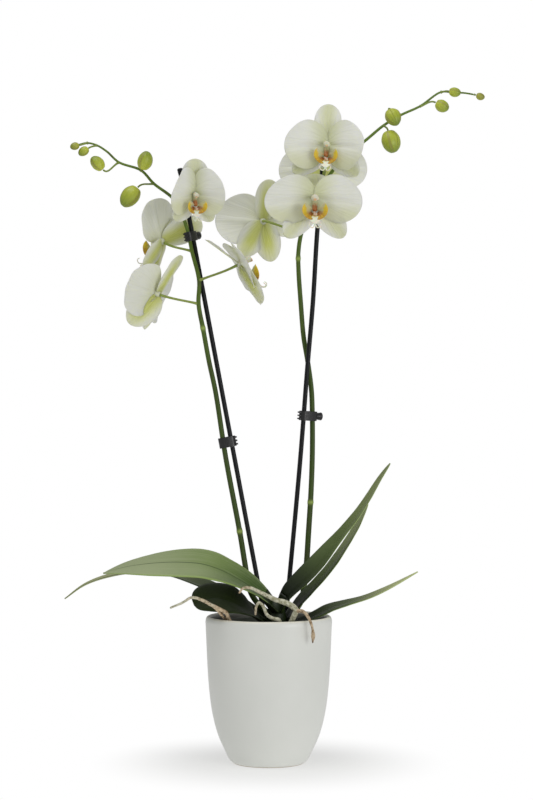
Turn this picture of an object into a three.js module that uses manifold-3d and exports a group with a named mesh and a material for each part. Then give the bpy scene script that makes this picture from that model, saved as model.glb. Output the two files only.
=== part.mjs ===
// A moth orchid in a white glazed pot: two flower spikes clipped to black stakes, eight open
// white flowers, ten buds, six strap leaves and three aerial roots.
// Millimetres, +Z up. The origin is the middle of the pot's flat foot, and -Y is the plant's front.
import * as THREE from "three";
import { mergeVertices } from "three/addons/utils/BufferGeometryUtils.js";
import Module from "manifold-3d";

const wasm = await Module();
wasm.setup();

// ---------------------------------------------------------------- driving dimensions
const GAP = 0.3; // air between two pieces that touch on the real plant

const POT_HEIGHT = 156;
const POT_WALL = 6;
const POT_FLOOR = 8;
const POT_SIDES = 28;
// The pot's outer outline, foot to rim: [radius, height].
const POT_OUTLINE = [
  [37.5, 0], [41.5, 3], [47.2, 14], [54, 29.5], [60, 52], [64, 83], [67.5, 150],
];

const NURSERY_WALL = 1.2;
const NURSERY_SIDES = 24;
const NURSERY_TOP = 149;
const NURSERY_FOOT_RADIUS = 36;
const NURSERY_TOP_RADIUS = 58;
const NURSERY_LIP = 1.6;

const BARK_TOP = 141;
const BARK_CHIPS = 8;

const STAKE_RADIUS = 2.5;
const STAKE_CAP_RADIUS = 3.3;
const STAKE_CAP_LENGTH = 9;

const CLIP_WALL = 1.7;

const LEAF_THICKNESS = 2;
const SHEATH_THICKNESS = 3.6;
const SHEATH_SHARE = 0.085; // the first part of each leaf is its sheath, which stays on the crown
const LEAF_ROWS = 12;
const LEAF_COLUMNS = 4;

const TEPAL_THICKNESS = 1.1;
const HUB_RADIUS = 4.2; // the knot behind a flower's face, where its tepals meet its stalk
const FLOWER_STALK_RADIUS = 1.4;
const BUD_STALK_RADIUS = 1.1;

// ---------------------------------------------------------------- materials
const finish = (color, roughness, metalness = 0) =>
  new THREE.MeshStandardMaterial({ color, roughness, metalness });

const glaze = finish(0xe6e7e1, 0.35);
const nurseryPlastic = finish(0x8d958c, 0.3);
const barkBrown = finish(0x3b2a1c, 0.9);
const crownGreen = finish(0x2f4420, 0.5);
const leafGreen = finish(0x3f5f2a, 0.4);
const rootSilver = finish(0xb9b497, 0.8);
const stemGreen = finish(0x4d7030, 0.5);
const stakeBlack = finish(0x14181a, 0.45);
const clipBlack = finish(0x0d0f0f, 0.35);
const petalWhite = finish(0xf3f4ee, 0.5);
const lipYellow = finish(0xe3b93a, 0.5);
const budGreen = finish(0xb6c654, 0.5);

// ---------------------------------------------------------------- solids
const { lerp, clamp, smoothstep, radToDeg } = THREE.MathUtils;
const vec = (p) => new THREE.Vector3(...p);

// A geometry as a manifold solid: its vertices merged, and triangles that merging flattened dropped.
function solid(geometry) {
  const bare = new THREE.BufferGeometry();
  bare.setAttribute("position", geometry.getAttribute("position"));
  bare.setIndex(geometry.index);
  const merged = mergeVertices(bare, 1e-4);
  const index = merged.index.array;
  const triangles = [];
  for (let i = 0; i < index.length; i += 3) {
    const [a, b, c] = index.slice(i, i + 3);
    if (a !== b && b !== c && a !== c) triangles.push(a, b, c);
  }
  const vertProperties = merged.attributes.position.array;
  const triVerts = new Uint32Array(triangles);
  return new wasm.Manifold(new wasm.Mesh({ numProp: 3, vertProperties, triVerts }));
}

function join(bodies) {
  return bodies.reduce((a, b) => a.add(b));
}

// What is left of a body after its neighbours are cut away, without any scrap they part from it.
function cut(body, neighbours) {
  const left = neighbours.reduce((a, b) => a.subtract(b), body);
  return left.decompose().sort((a, b) => b.volume() - a.volume())[0];
}

function meshOf(name, body, material) {
  const { vertProperties, triVerts } = body.getMesh();
  const geometry = new THREE.BufferGeometry();
  geometry.setAttribute("position", new THREE.BufferAttribute(new Float32Array(vertProperties), 3));
  geometry.setIndex(new THREE.BufferAttribute(new Uint32Array(triVerts), 1));
  geometry.computeVertexNormals();
  const mesh = new THREE.Mesh(geometry, material);
  mesh.name = name;
  return mesh;
}

// A body of revolution about Z from [radius, height] points that start and end on the axis.
function turned(points, sides) {
  const lathe = new THREE.LatheGeometry(points.map((p) => new THREE.Vector2(...p)), sides);
  return solid(lathe.rotateX(Math.PI / 2));
}

function curveThrough(points) {
  return new THREE.CatmullRomCurve3(points.map(vec), false, "centripetal");
}

// A round bar along a smooth curve through points. Its sections are drawn 1 mm in radius and then
// widened: radiusAt takes the share of the bar's length, from 0 to 1.
function bar(points, radiusAt, sides, steps) {
  const curve = curveThrough(points);
  const corners = Array.from({ length: sides }, (_, i) => {
    const turn = (2 * Math.PI * i) / sides;
    return new THREE.Vector2(Math.cos(turn), Math.sin(turn));
  });
  const tube = new THREE.ExtrudeGeometry(new THREE.Shape(corners), { steps, extrudePath: curve });
  const middles = curve.getSpacedPoints(steps);
  const position = tube.getAttribute("position");
  for (let i = 0; i < position.count; i++) {
    const corner = new THREE.Vector3().fromBufferAttribute(position, i);
    const offsets = middles.map((middle) => middle.distanceTo(corner));
    const step = offsets.indexOf(Math.min(...offsets));
    corner.sub(middles[step]).multiplyScalar(radiusAt(step / steps)).add(middles[step]);
    position.setXYZ(i, ...corner);
  }
  return solid(tube);
}

// A thin blade: at(s, v) is its middle surface for s and v from -1 to 1. Both faces are split
// into triangles alike, and thicknessAt(s, v) is measured across the blade.
function blade(rows, columns, at, thicknessAt) {
  const positions = [];
  const step = 1e-3;
  for (const face of [1, -1]) {
    for (let i = 0; i <= rows; i++) {
      for (let j = 0; j <= columns; j++) {
        const s = -1 + (2 * i) / rows;
        const v = -1 + (2 * j) / columns;
        const sn = clamp(s, -1 + 2 * step, 1 - 2 * step);
        const vn = clamp(v, -1 + 2 * step, 1 - 2 * step);
        const along = at(sn + step, vn).sub(at(sn - step, vn));
        const across = at(sn, vn + step).sub(at(sn, vn - step));
        const normal = across.cross(along).normalize();
        positions.push(...at(s, v).addScaledVector(normal, (face * thicknessAt(s, v)) / 2));
      }
    }
  }
  const perRow = columns + 1;
  const back = (rows + 1) * perRow;
  const index = [];
  const quad = (a, b, c, d) => index.push(a, b, c, a, c, d);
  for (let i = 0; i < rows; i++) {
    for (let j = 0; j < columns; j++) {
      const a = i * perRow + j;
      const [b, c, d] = [a + 1, a + perRow + 1, a + perRow];
      quad(a, b, c, d);
      index.push(back + a, back + c, back + b, back + a, back + d, back + c);
    }
  }
  for (let i = 0; i < rows; i++) {
    const left = i * perRow;
    const right = left + columns;
    quad(left, left + perRow, back + left + perRow, back + left);
    quad(right, back + right, back + right + perRow, right + perRow);
  }
  for (let j = 0; j < columns; j++) {
    const top = rows * perRow + j;
    quad(j, back + j, back + j + 1, j + 1);
    quad(top, top + 1, back + top + 1, back + top);
  }
  const facingOut = new THREE.BufferGeometry();
  facingOut.setAttribute("position", new THREE.BufferAttribute(new Float32Array(positions), 3));
  facingOut.setIndex(index);
  const body = solid(facingOut);
  if (body.volume() > 0) return body;
  facingOut.setIndex(index.toReversed());
  return solid(facingOut);
}

// A repeatable draw from 0 to 1.
function drawer(seed) {
  let state = seed;
  return () => {
    state = (state * 1664525 + 1013904223) % 4294967296;
    return state / 4294967296;
  };
}

// ---------------------------------------------------------------- pots and bark
function potBody() {
  const rim = POT_OUTLINE.at(-1)[0];
  const inside = POT_OUTLINE.filter((_, i) => i > 1 && i % 2 === 0)
    .reverse()
    .map(([r, z]) => [r - POT_WALL, z]);
  return turned(
    [
      [0, 0],
      ...POT_OUTLINE,
      [rim - 0.6, POT_HEIGHT - 1.6],
      [rim - POT_WALL / 2, POT_HEIGHT],
      [rim - POT_WALL + 0.6, POT_HEIGHT - 1.6],
      ...inside,
      [39.2, POT_FLOOR],
      [0, POT_FLOOR],
    ],
    POT_SIDES,
  );
}

// The thin pot that the plant was grown in stands on the glazed pot's floor, in its own air gap.
const NURSERY_FOOT = POT_FLOOR + GAP;
const NURSERY_FLOOR = NURSERY_FOOT + NURSERY_WALL;

function nurseryRadius(z) {
  const rise = (z - NURSERY_FOOT) / (NURSERY_TOP - NURSERY_FOOT);
  return lerp(NURSERY_FOOT_RADIUS, NURSERY_TOP_RADIUS, rise);
}

function nurseryBody() {
  const lipFoot = NURSERY_TOP - 2 * NURSERY_LIP;
  return turned(
    [
      [0, NURSERY_FOOT],
      [NURSERY_FOOT_RADIUS, NURSERY_FOOT],
      [nurseryRadius(lipFoot), lipFoot],
      [NURSERY_TOP_RADIUS + NURSERY_LIP, lipFoot],
      [NURSERY_TOP_RADIUS + NURSERY_LIP, NURSERY_TOP],
      [NURSERY_TOP_RADIUS - NURSERY_WALL, NURSERY_TOP],
      [NURSERY_FOOT_RADIUS - NURSERY_WALL, NURSERY_FLOOR],
      [0, NURSERY_FLOOR],
    ],
    NURSERY_SIDES,
  );
}

// One chip of bark: a rough block, half sunk in the bed's top.
function barkChip(draw) {
  const chip = new THREE.BoxGeometry(lerp(12, 21, draw()), lerp(8, 13, draw()), lerp(6, 9, draw()));
  const ring = Math.sqrt(lerp(0.02, 1, draw())) * 43;
  const round = draw() * 2 * Math.PI;
  chip.rotateX((draw() - 0.5) * 0.7).rotateY((draw() - 0.5) * 0.7).rotateZ(draw() * Math.PI);
  chip.translate(ring * Math.cos(round), ring * Math.sin(round), BARK_TOP + lerp(-2, 1, draw()));
  return solid(chip);
}

// The bark mix fills the nursery pot, and stakes, crown and roots stand in plain holes in it.
function barkBody(standing) {
  const draw = drawer(71);
  const clear = NURSERY_WALL + GAP;
  const bed = turned(
    [
      [0, NURSERY_FLOOR + GAP],
      [nurseryRadius(NURSERY_FLOOR) - clear, NURSERY_FLOOR + GAP],
      [nurseryRadius(BARK_TOP - 4) - clear, BARK_TOP - 4],
      [nurseryRadius(BARK_TOP) - clear - 4, BARK_TOP - 1],
      [0, BARK_TOP],
    ],
    NURSERY_SIDES,
  );
  const chips = Array.from({ length: BARK_CHIPS }, () => barkChip(draw));
  return cut(join([bed, ...chips]), standing);
}

// ---------------------------------------------------------------- leaves and crown
// path: the midrib from the crown to the tip. lift: how far the leaf is rolled so that its far
// edge rises, and fold: how far both halves rise from the midrib; in radians, foot to tip.
// foot: the breadth at the crown as a share of width. widest: where along it the leaf is broadest.
// blunt: 0.5 rounds the tip, and 1 draws it out.
const LEAVES = [
  {
    name: "leaf_left_top",
    path: [
      [4, -13, 162], [-7, -18, 176], [-20, -23, 188], [-36, -28, 198.5], [-52, -32, 207],
      [-70, -34, 213], [-90, -35.5, 215], [-110, -36, 215], [-132, -36, 213.2],
      [-152, -35, 210], [-174, -34, 204],
    ],
    width: 57, foot: 0.55, widest: 0.44, blunt: 0.9, lift: [0.5, 0.5], fold: [0.6, -0.08],
  },
  {
    name: "leaf_left_back",
    path: [
      [2, 0, 148], [-20, 5, 161], [-47, 12, 174.5], [-74, 19, 186.5], [-106, 26, 197],
      [-139, 31, 200], [-171, 34, 195.5], [-199, 35, 186], [-221, 35, 171],
    ],
    width: 44, foot: 0.42, widest: 0.45, blunt: 0.8, lift: [0.1, 0.05], fold: [0.5, 0.12],
  },
  {
    name: "leaf_left_low",
    path: [
      [-3, -13, 146], [-18, -19, 158.5], [-37, -21, 170.5], [-54, -21, 175.8],
      [-67, -23.5, 175], [-79, -26, 170],
    ],
    width: 48, foot: 0.28, widest: 0.7, blunt: 0.42, lift: [0.28, 0.62], fold: [0.5, 0.1],
  },
  {
    name: "leaf_right_top",
    path: [
      [13, -12, 162], [23, -15, 181.5], [39, -16, 198], [53.5, -16, 213], [67.5, -15, 229.5],
      [82, -13.5, 247], [94.5, -12, 263], [107, -11, 282.5], [119, -10, 303.5], [129, -9, 319],
    ],
    width: 27, foot: 0.75, widest: 0.32, blunt: 0.6, lift: [0.8, 0.25], fold: [0.62, 0.25],
  },
  {
    name: "leaf_right_back",
    path: [
      [19, -3.8, 152], [32, -1.4, 170], [43, 1, 182], [54.5, 3, 194], [66.5, 5.5, 208],
      [76.5, 8, 222], [86, 10, 236.5], [93.5, 11.5, 249], [99.5, 13, 261], [106.5, 15, 274.5],
    ],
    width: 24, foot: 0.64, widest: 0.6, blunt: 0.7, lift: [0.3, 0.1], fold: [0.2, 0.08],
  },
  {
    name: "leaf_right_low",
    path: [
      [18, -6, 148], [38, -7, 152], [54, -5, 158.5], [66, -2, 164], [82, 2, 168.5],
      [105, 6, 175], [130, 10, 186], [160, 13, 202],
    ],
    width: 24, foot: 0.45, widest: 0.4, blunt: 0.8, lift: [0.26, 0.08], fold: [0.36, 0.06],
  },
];

// Half the leaf's breadth at a share of its length.
function leafBreadth(leaf, share) {
  const half = leaf.width / 2;
  if (share < leaf.widest) {
    return half * lerp(leaf.foot, 1, Math.sin((share / leaf.widest) * (Math.PI / 2)));
  }
  const fall = (share - leaf.widest) / (1 - leaf.widest);
  return half * Math.max(0.07, Math.pow(1 - fall * fall, leaf.blunt));
}

function lengthOf(leaf) {
  return curveThrough(leaf.path).getLength();
}

// The middle surface of a leaf between two shares of its length; v = 1 is its far edge.
function leafSurface(leaf, from, to) {
  const curve = curveThrough(leaf.path);
  return (s, v) => {
    const share = clamp(lerp(from, to, (s + 1) / 2), 0, 1);
    const tangent = curve.getTangentAt(share);
    const way = Math.sign(tangent.x);
    const level = new THREE.Vector3(-tangent.y, tangent.x, 0).multiplyScalar(way).normalize();
    const rise = new THREE.Vector3().crossVectors(tangent, level).multiplyScalar(way);
    const lift = lerp(...leaf.lift, smoothstep(share, 0.2, 0.6));
    const side = level.clone().multiplyScalar(Math.cos(lift)).addScaledVector(rise, Math.sin(lift));
    const normal = rise.clone().multiplyScalar(Math.cos(lift)).addScaledVector(level, -Math.sin(lift));
    const fold = lerp(...leaf.fold, Math.min(1, Math.sqrt(share) * 1.15));
    const breadth = leafBreadth(leaf, share) * v;
    const valley = Math.sqrt(breadth * breadth + 4) - 2; // the halves meet in a rounded keel
    return curve
      .getPointAt(share)
      .addScaledVector(side, breadth * Math.cos(fold))
      .addScaledVector(normal, valley * Math.sin(fold));
  };
}

function leafBody(leaf, neighbours) {
  const thicknessAt = (s, v) => LEAF_THICKNESS * (1 - 0.35 * v * v - 0.2 * Math.max(0, s));
  const surface = leafSurface(leaf, SHEATH_SHARE + GAP / lengthOf(leaf), 1);
  return cut(blade(LEAF_ROWS, LEAF_COLUMNS, surface, thicknessAt), neighbours);
}

// The short stem: a stub in the bark with the sheaths of all six leaves wrapped on it.
const CROWN_MIDDLE = [8, -6, 0];
const CROWN_OUTLINE = [[0, 112], [4, 112], [9, 136], [11, 150], [9.5, 163], [5, 174], [0, 176]];

function crownBody(grow = 0) {
  const stub = turned(CROWN_OUTLINE.map(([r, z]) => [r && r + grow, z]), 9);
  const sheaths = LEAVES.map((leaf) => {
    const surface = leafSurface(leaf, 0, SHEATH_SHARE + (0.95 * grow) / lengthOf(leaf));
    const spread = 1 + grow / 8; // a grown sheath is broader and longer as well as thicker
    return blade(2, 2, (s, v) => surface(s, v * spread), () => SHEATH_THICKNESS + 2 * grow);
  });
  return cut(join([stub.translate(CROWN_MIDDLE), ...sheaths]), []);
}

// ---------------------------------------------------------------- aerial roots
// Each root grows out of the bark and forks where its second branch begins. radius: at the foot,
// at the thickest place, and at the tip.
const ROOTS = [
  {
    name: "root_front",
    branches: [
      {
        points: [
          [19, -42, 131], [21, -45, 148], [26, -48, 160], [28, -49.5, 167], [23, -49, 172],
          [16, -48, 175], [7.5, -47.5, 177.5], [-1, -48, 181.5], [-11, -50, 186.5],
          [-20, -52, 190.5], [-27, -53, 190], [-31, -53, 184.5],
        ],
        radius: [2.6, 3.4, 1.2], steps: 18,
      },
      {
        points: [
          [27, -49, 166], [35.5, -54, 166], [41, -59.5, 160.5], [44.5, -62.5, 152.5],
          [46, -62, 143], [45.5, -60, 133.5],
        ],
        radius: [2.3, 2.4, 1.1], steps: 8,
      },
    ],
  },
  {
    name: "root_middle",
    branches: [
      {
        points: [
          [8, -42, 131], [11, -46, 148], [10.5, -50, 156.5], [4, -51.5, 158.5],
          [-2, -52, 162.5], [-5.5, -52, 170.5], [-10, -52, 175], [-13, -52, 171],
          [-14, -52, 161.5],
        ],
        radius: [2.2, 2.3, 1.2], steps: 15,
      },
    ],
  },
  {
    name: "root_left",
    branches: [
      {
        points: [
          [-33, -32, 131], [-35, -34.5, 141], [-38, -36.5, 149], [-42, -41, 157],
          [-44.5, -46, 163.5], [-52, -51, 168.5], [-61, -55, 173.5], [-69, -58, 178],
          [-80, -60, 181], [-90, -60, 175.5], [-103, -59, 170],
        ],
        radius: [1.8, 2.2, 1.1], steps: 15,
      },
      {
        points: [
          [-60, -54.5, 173], [-54.5, -50.5, 168], [-50, -43.6, 162.2], [-46.5, -36, 157],
          [-41, -31, 149], [-38, -28, 137],
        ],
        radius: [1.6, 1.7, 1.4], steps: 6,
      },
    ],
  },
];

function rootBody(root, grow = 0) {
  const branches = root.branches.map(({ points, radius: [foot, thickest, tip], steps }) => {
    const radiusAt = (share) => {
      if (share < 0.4) return grow + lerp(foot, thickest, share / 0.4);
      return grow + lerp(thickest, tip, (share - 0.4) / 0.6);
    };
    return bar(points, radiusAt, 6, steps);
  });
  return join(branches);
}

// ---------------------------------------------------------------- stakes
// points: from the capped top end down to the foot, deep in the bark.
const STAKES = [
  { name: "stake_left", points: [[-95, 3, 634], [12.9, 22, 60]], steps: 1 },
  {
    name: "stake_right",
    points: [
      [58, 9, 633], [52, 12, 566.5], [47.6, 14, 493.5], [41.5, 16, 420.5], [34, 20, 323],
      [22.5, 27, 195.5], [18.5, 29.5, 154], [9.5, 33, 60],
    ],
    steps: 8,
  },
];

function stakeBody(stake, grow = 0) {
  return bar(stake.points, () => STAKE_RADIUS + grow, 8, stake.steps);
}

// A stake with the soft cap that is pushed over its top end.
function cappedStake(stake) {
  const [top, next] = stake.points.map(vec);
  const down = next.clone().sub(top).normalize();
  const capTop = top.clone().addScaledVector(down, -1);
  const capFoot = top.clone().addScaledVector(down, STAKE_CAP_LENGTH);
  const capRadius = (share) => lerp(STAKE_CAP_RADIUS, STAKE_RADIUS + 0.1, share);
  const cap = bar([[...capTop], [...capFoot]], capRadius, 8, 1);
  return join([stakeBody(stake), cap]);
}

// ---------------------------------------------------------------- flower spikes
// points: from inside the crown to the growing tip. radius: at the foot, the middle and the tip.
// knots: the steps along the spike where a stem joint swells it.
const SPIKES = [
  {
    name: "spike_left",
    points: [
      [2, 1, 156], [-6, 8, 163], [-13, 12.5, 169.5], [-19, 15, 179], [-22.5, 16, 192],
      [-25.5, 17, 210], [-31, 16, 244], [-46, 12, 324], [-57, 8, 395], [-64, 5, 428],
      [-70, 3, 461], [-75, 2, 489], [-74.5, 1.5, 514], [-82, 0.5, 545], [-86.5, 0, 566.5],
      [-93, -1, 585], [-102, -2, 601], [-122.5, -2, 617], [-136, -3, 631],
      [-159.5, -4, 639.5], [-172.5, -5, 651], [-183, -5, 657.5], [-193, -5, 660],
      [-201, -5, 658.5], [-211, -6, 655.5],
    ],
    radius: [3.1, 2.5, 0.9], steps: 35, knots: [6, 19],
  },
  {
    name: "spike_right",
    points: [
      [15, 5, 151], [22, 12, 155.5], [30, 20, 162], [35.5, 23, 171], [38, 23.5, 185],
      [40.5, 23.5, 207], [43, 23.5, 245], [45.5, 23.5, 285], [47, 23.5, 327], [47, 23, 370],
      [46, 23, 397], [42, 24, 428], [37.5, 23, 455], [34.5, 20, 490], [32, 15, 525],
      [31.8, 11, 545], [35, 6.5, 565], [44.5, 3, 588], [56.5, 1, 612], [67.5, 0, 630],
      [83.5, 0, 648.5], [103, -1, 663], [122.5, -2, 679], [141, -3, 690], [161, -5, 699],
      [183.5, -6, 714], [197, -5, 713.5], [208, -6, 713], [218.5, -8, 711],
    ],
    radius: [3.2, 2.5, 0.9], steps: 39, knots: [8, 23],
  },
];

function spikeRadius(spike, share) {
  const [foot, middle, tip] = spike.radius;
  const swell = spike.knots.includes(Math.round(share * spike.steps)) ? 0.5 : 0;
  if (share < 0.55) return swell + lerp(foot, middle, share / 0.55);
  return swell + lerp(middle, tip, (share - 0.55) / 0.45);
}

// The middle points of a stalk that leaves one of its spike's points and meets end head on.
function stalkPoints(spike, node, end, into) {
  const from = vec(spike.points[node]);
  const span = from.distanceTo(end);
  const middle = from.clone().lerp(end, 0.4);
  const late = end.clone().addScaledVector(into, -0.4 * span);
  const bow = new THREE.CubicBezierCurve3(from, middle, late, end);
  return bow.getPoints(4).map((point) => [...point]);
}

// ---------------------------------------------------------------- flowers
// Tepals lie in their flower's own frame: +Z out of its face, +Y up to its top sepal. turn: where
// the tepal points in the face. tilt: how far it leans forward. roll: how far it is turned about
// its own length. curl: how far it bends forward over its length. cup: how hollow it is across.
// flare: how much broader it is at the tip than at the foot. wave: the height of its edge's
// ripple. root and layer: its foot's place, out and forward. shoulder: how much fuller the upper
// side of its foot is.
const TOP_SEPAL = {
  length: 46, width: 31, turn: 0, tilt: -0.2, roll: 0, curl: -0.05, cup: 0.2, flare: 0.12,
  wave: 0.5, root: 0, layer: -0.8, shoulder: 0,
};
const PETAL = {
  length: 50, width: 52, turn: 1.68, tilt: 0.12, roll: 0, curl: -0.15, cup: -0.25, flare: -0.06,
  wave: 1.5, root: 2, layer: 1.3, shoulder: 0.2,
};
const LOW_SEPAL = {
  length: 48, width: 29, turn: 2.5, tilt: -0.02, roll: 0, curl: 0.15, cup: 0.3, flare: -0.1,
  wave: 0.6, root: 0, layer: -1.5, shoulder: 0,
};

// at: the middle of the face. face: the way it looks. up: towards its top sepal. stalk: the point
// of its spike that its stalk leaves. The other entries change the tepals of one flower, and hang
// and ahead turn its lip down and move it forward.
const FLOWERS = [
  {
    name: "left_1", at: [-119, 0, 499.5], face: [-0.86, 0.4, 0.3], up: [0.33, 0, 0.94],
    size: 0.97, spike: 0, stalk: 11, hang: 0, ahead: 0,
    top: { tilt: -0.22, width: 24, length: 50 },
    petals: { tilt: 0.32, width: 57 },
    low: { tilt: 0.18, width: 34, turn: 2.6 },
    lowRight: { roll: 0.9 },
  },
  {
    name: "left_2", at: [-115, 18, 557], face: [-0.76, 0.47, 0.45], up: [0.55, 0.25, 0.8],
    size: 0.95, spike: 0, stalk: 13, hang: 0.5, ahead: 0,
    top: { tilt: -0.5, roll: -0.6, width: 32, length: 50 },
    petalLeft: { turn: 0.95, tilt: 0.9 },
    petalRight: { turn: 1.1, tilt: 0.35 },
    lowRight: { turn: 2.9, tilt: -0.3 },
  },
  {
    name: "left_3", at: [-78.5, -34, 603], face: [0.3, -0.9, -0.3], up: [0.1, -0.35, 0.9],
    size: 0.8, spike: 0, stalk: 16, hang: 0, ahead: 5,
    top: { tilt: -0.1, width: 36 },
    petals: { tilt: 0.6, length: 40, width: 57, turn: 1.5, shoulder: 0.36 },
    low: { tilt: 0.1, length: 44 },
  },
  {
    name: "left_4", at: [-30, -14, 531], face: [0.88, 0.11, 0.46], up: [-0.47, 0, 0.88],
    size: 0.98, spike: 0, stalk: 12, hang: 0.25, ahead: 0,
    top: { tilt: -0.45, roll: -0.2, width: 20 },
    petals: { tilt: 0.04, width: 57 },
    low: { tilt: -0.04, length: 52, turn: 2.8 },
    lowLeft: { roll: -0.4 },
  },
  {
    name: "right_1", at: [48, -50, 597], face: [0, -1, -0.08], up: [0, 0, 1],
    size: 1, spike: 1, stalk: 17, hang: 0, ahead: 0,
    top: { tilt: -0.95 },
    petals: { width: 47, shoulder: 0.24 },
    petalLeft: { length: 51 },
    petalRight: { length: 48 },
    low: { length: 51 },
  },
  {
    name: "right_2", at: [61, -31, 654], face: [-0.06, -1, 0.02], up: [0.04, 0, 1],
    size: 0.93, spike: 1, stalk: 18, hang: 0, ahead: 1.5,
    top: { length: 50 },
    petals: { tilt: 0.42, length: 48, shoulder: 0.3 },
    petalRight: { tilt: 0.6, length: 47 },
    low: { turn: 2.3, length: 49 },
  },
  {
    name: "right_3", at: [-6, 18, 578], face: [0.02, 1, -0.05], up: [0.18, 0, 1],
    size: 1, spike: 1, stalk: 16, hang: 0, ahead: 0,
    top: { width: 26 },
    petalLeft: { turn: 1.1, length: 45, width: 46 },
    low: { turn: 2.75, length: 44 },
  },
  {
    name: "right_4", at: [58.5, 38, 640], face: [0.1, 1, -0.1], up: [0, 0, 1],
    size: 0.93, spike: 1, stalk: 20, hang: 0, ahead: 0,
  },
];

function tepalsOf(flower) {
  return [
    { ...TOP_SEPAL, ...flower.top, hand: 1, cells: [4, 2] },
    { ...PETAL, ...flower.petals, ...flower.petalLeft, hand: -1, cells: [4, 4] },
    { ...PETAL, ...flower.petals, ...flower.petalRight, hand: 1, cells: [4, 4] },
    { ...LOW_SEPAL, ...flower.low, ...flower.lowLeft, hand: -1, cells: [4, 2] },
    { ...LOW_SEPAL, ...flower.low, ...flower.lowRight, hand: 1, cells: [4, 2] },
  ];
}

// A tepal's middle surface. The square of s and v is rounded to a disc, the disc is drawn out into
// the outline, hollowed across and curled along its length, and then turned into its place.
function tepalSurface(tepal, size, phase) {
  const bend = tepal.curl / tepal.length;
  const turn = -tepal.turn * tepal.hand;
  return (s, v) => {
    const across = v * Math.sqrt(1 - (s * s) / 2);
    const along = s * Math.sqrt(1 - (v * v) / 2);
    const out = Math.hypot(across, along) || 1;
    const toward = Math.max(0, (-0.75 * along - 0.66 * tepal.hand * across) / out);
    const fuller = 1 + tepal.shoulder * toward * toward;
    const x = (tepal.width / 2) * across * fuller * (1 + tepal.flare * along);
    const reach = tepal.root + (tepal.length * (1 + along * fuller)) / 2;
    const rim = (across * across + along * along) ** 2;
    const ripple = tepal.wave * Math.sin(3 * Math.atan2(across, along) + phase) * rim;
    const hollow = (tepal.cup * x * x) / tepal.width + ripple;
    const y = Math.sin(bend * reach) / bend - hollow * Math.sin(bend * reach);
    const z = (1 - Math.cos(bend * reach)) / bend + hollow * Math.cos(bend * reach);
    return new THREE.Vector3(x, y, z)
      .applyAxisAngle(new THREE.Vector3(0, 1, 0), tepal.roll)
      .applyAxisAngle(new THREE.Vector3(1, 0, 0), tepal.tilt)
      .add(new THREE.Vector3(0, 0, tepal.layer))
      .applyAxisAngle(new THREE.Vector3(0, 0, 1), turn)
      .multiplyScalar(size);
  };
}

function posed(body, flower) {
  const face = vec(flower.face).normalize();
  const right = new THREE.Vector3().crossVectors(vec(flower.up), face).normalize();
  const up = new THREE.Vector3().crossVectors(face, right);
  const place = new THREE.Matrix4().makeBasis(right, up, face).setPosition(vec(flower.at));
  return body.transform(place.elements);
}

// The column, the flower's fused stamen and style, stands straight out of the face, and its foot
// runs down to the lip.
function columnBody(flower, grow = 0) {
  const { size, hang, ahead } = flower;
  const outline = [[0, -1], [2.8, -1], [3.2, 9.5], [2.2, 12.5], [0, 13]];
  const shaft = turned(outline.map(([r, z]) => [r && r + grow, z > 12 ? z + grow : z]), 5);
  const footPoints = [[0, 0, 3], [0, -8, 4.5 + ahead / 2], [0, -14 - grow, 7.5 + ahead]];
  const foot = bar(footPoints, () => 2 + 1.4 * grow, 4, 2).rotate([radToDeg(hang), 0, 0]);
  return join([shaft, foot]).scale([size, size, size]);
}

function hubBody(size, grow = 0) {
  const hub = new THREE.SphereGeometry(HUB_RADIUS + grow, 6, 4);
  return solid(hub).scale([size, size, size * 0.9]);
}

function flowerBody(flower, number, grow = 0) {
  const tepals = tepalsOf(flower).map((tepal, i) => {
    const grown = { ...tepal, width: tepal.width + 2 * grow, length: tepal.length + grow };
    const surface = tepalSurface(grown, flower.size, number * 1.7 + i * 2.3);
    return blade(...tepal.cells, surface, () => TEPAL_THICKNESS + 2 * grow);
  });
  return posed(join([...tepals, hubBody(flower.size, grow), columnBody(flower, grow)]), flower);
}

// The lip hangs at the column's foot, in front of the low sepals: a cup of two side lobes that
// stand up beside the column, a raised callus in it, a middle lobe that points down, and two curled
// tendrils at the middle lobe's tip.
function lipBody(flower, neighbours) {
  const cup = blade(
    6,
    1,
    (s, v) => {
      const swing = 2.3 * s; // from the cup's lowest point up to either lobe's tip
      const breadth = 2.6 + 2.4 * Math.sin(Math.PI * Math.min(1, Math.abs(s) * 1.05));
      const radius = 8.2 + (3.6 + 1.2 * Math.abs(s)) * v;
      const [x, y] = [1.05 * radius * Math.sin(swing), 0.95 * (radius - 1) * Math.cos(swing)];
      return vec([x, -12.5 - y, 9.5 + breadth * v + 2.5 * Math.abs(s)]);
    },
    () => 1,
  );
  const middleLobe = blade(
    3,
    2,
    (s, v) => {
      const out = (s + 1) / 2;
      const breadth = lerp(2.6, 0.9, out) + 4 * Math.sin(Math.PI * clamp(out * 1.3 - 0.15, 0, 1));
      return vec([breadth * v, -17 - 11 * out, 6 + 9 * Math.sqrt(out) + 0.8 * v * v]);
    },
    () => 1.3,
  );
  const tendril = (hand) =>
    bar(
      [
        [hand * 0.5, -27, 14.5],
        [hand * 1.6, -30, 17.5],
        [hand * 4, -30.5, 21],
        [hand * 6.2, -27.5, 22],
        [hand * 5.4, -25, 20],
      ],
      (share) => lerp(0.8, 0.5, share),
      3,
      4,
    );
  const callus = solid(new THREE.OctahedronGeometry(4)).translate([0, -17.5, 9]);
  const hung = join([cup, callus, middleLobe, tendril(1), tendril(-1)])
    .translate([0, 0, flower.ahead])
    .rotate([radToDeg(flower.hang), 0, 0])
    .scale([flower.size, flower.size, flower.size]);
  return cut(posed(hung, flower), neighbours);
}

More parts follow.
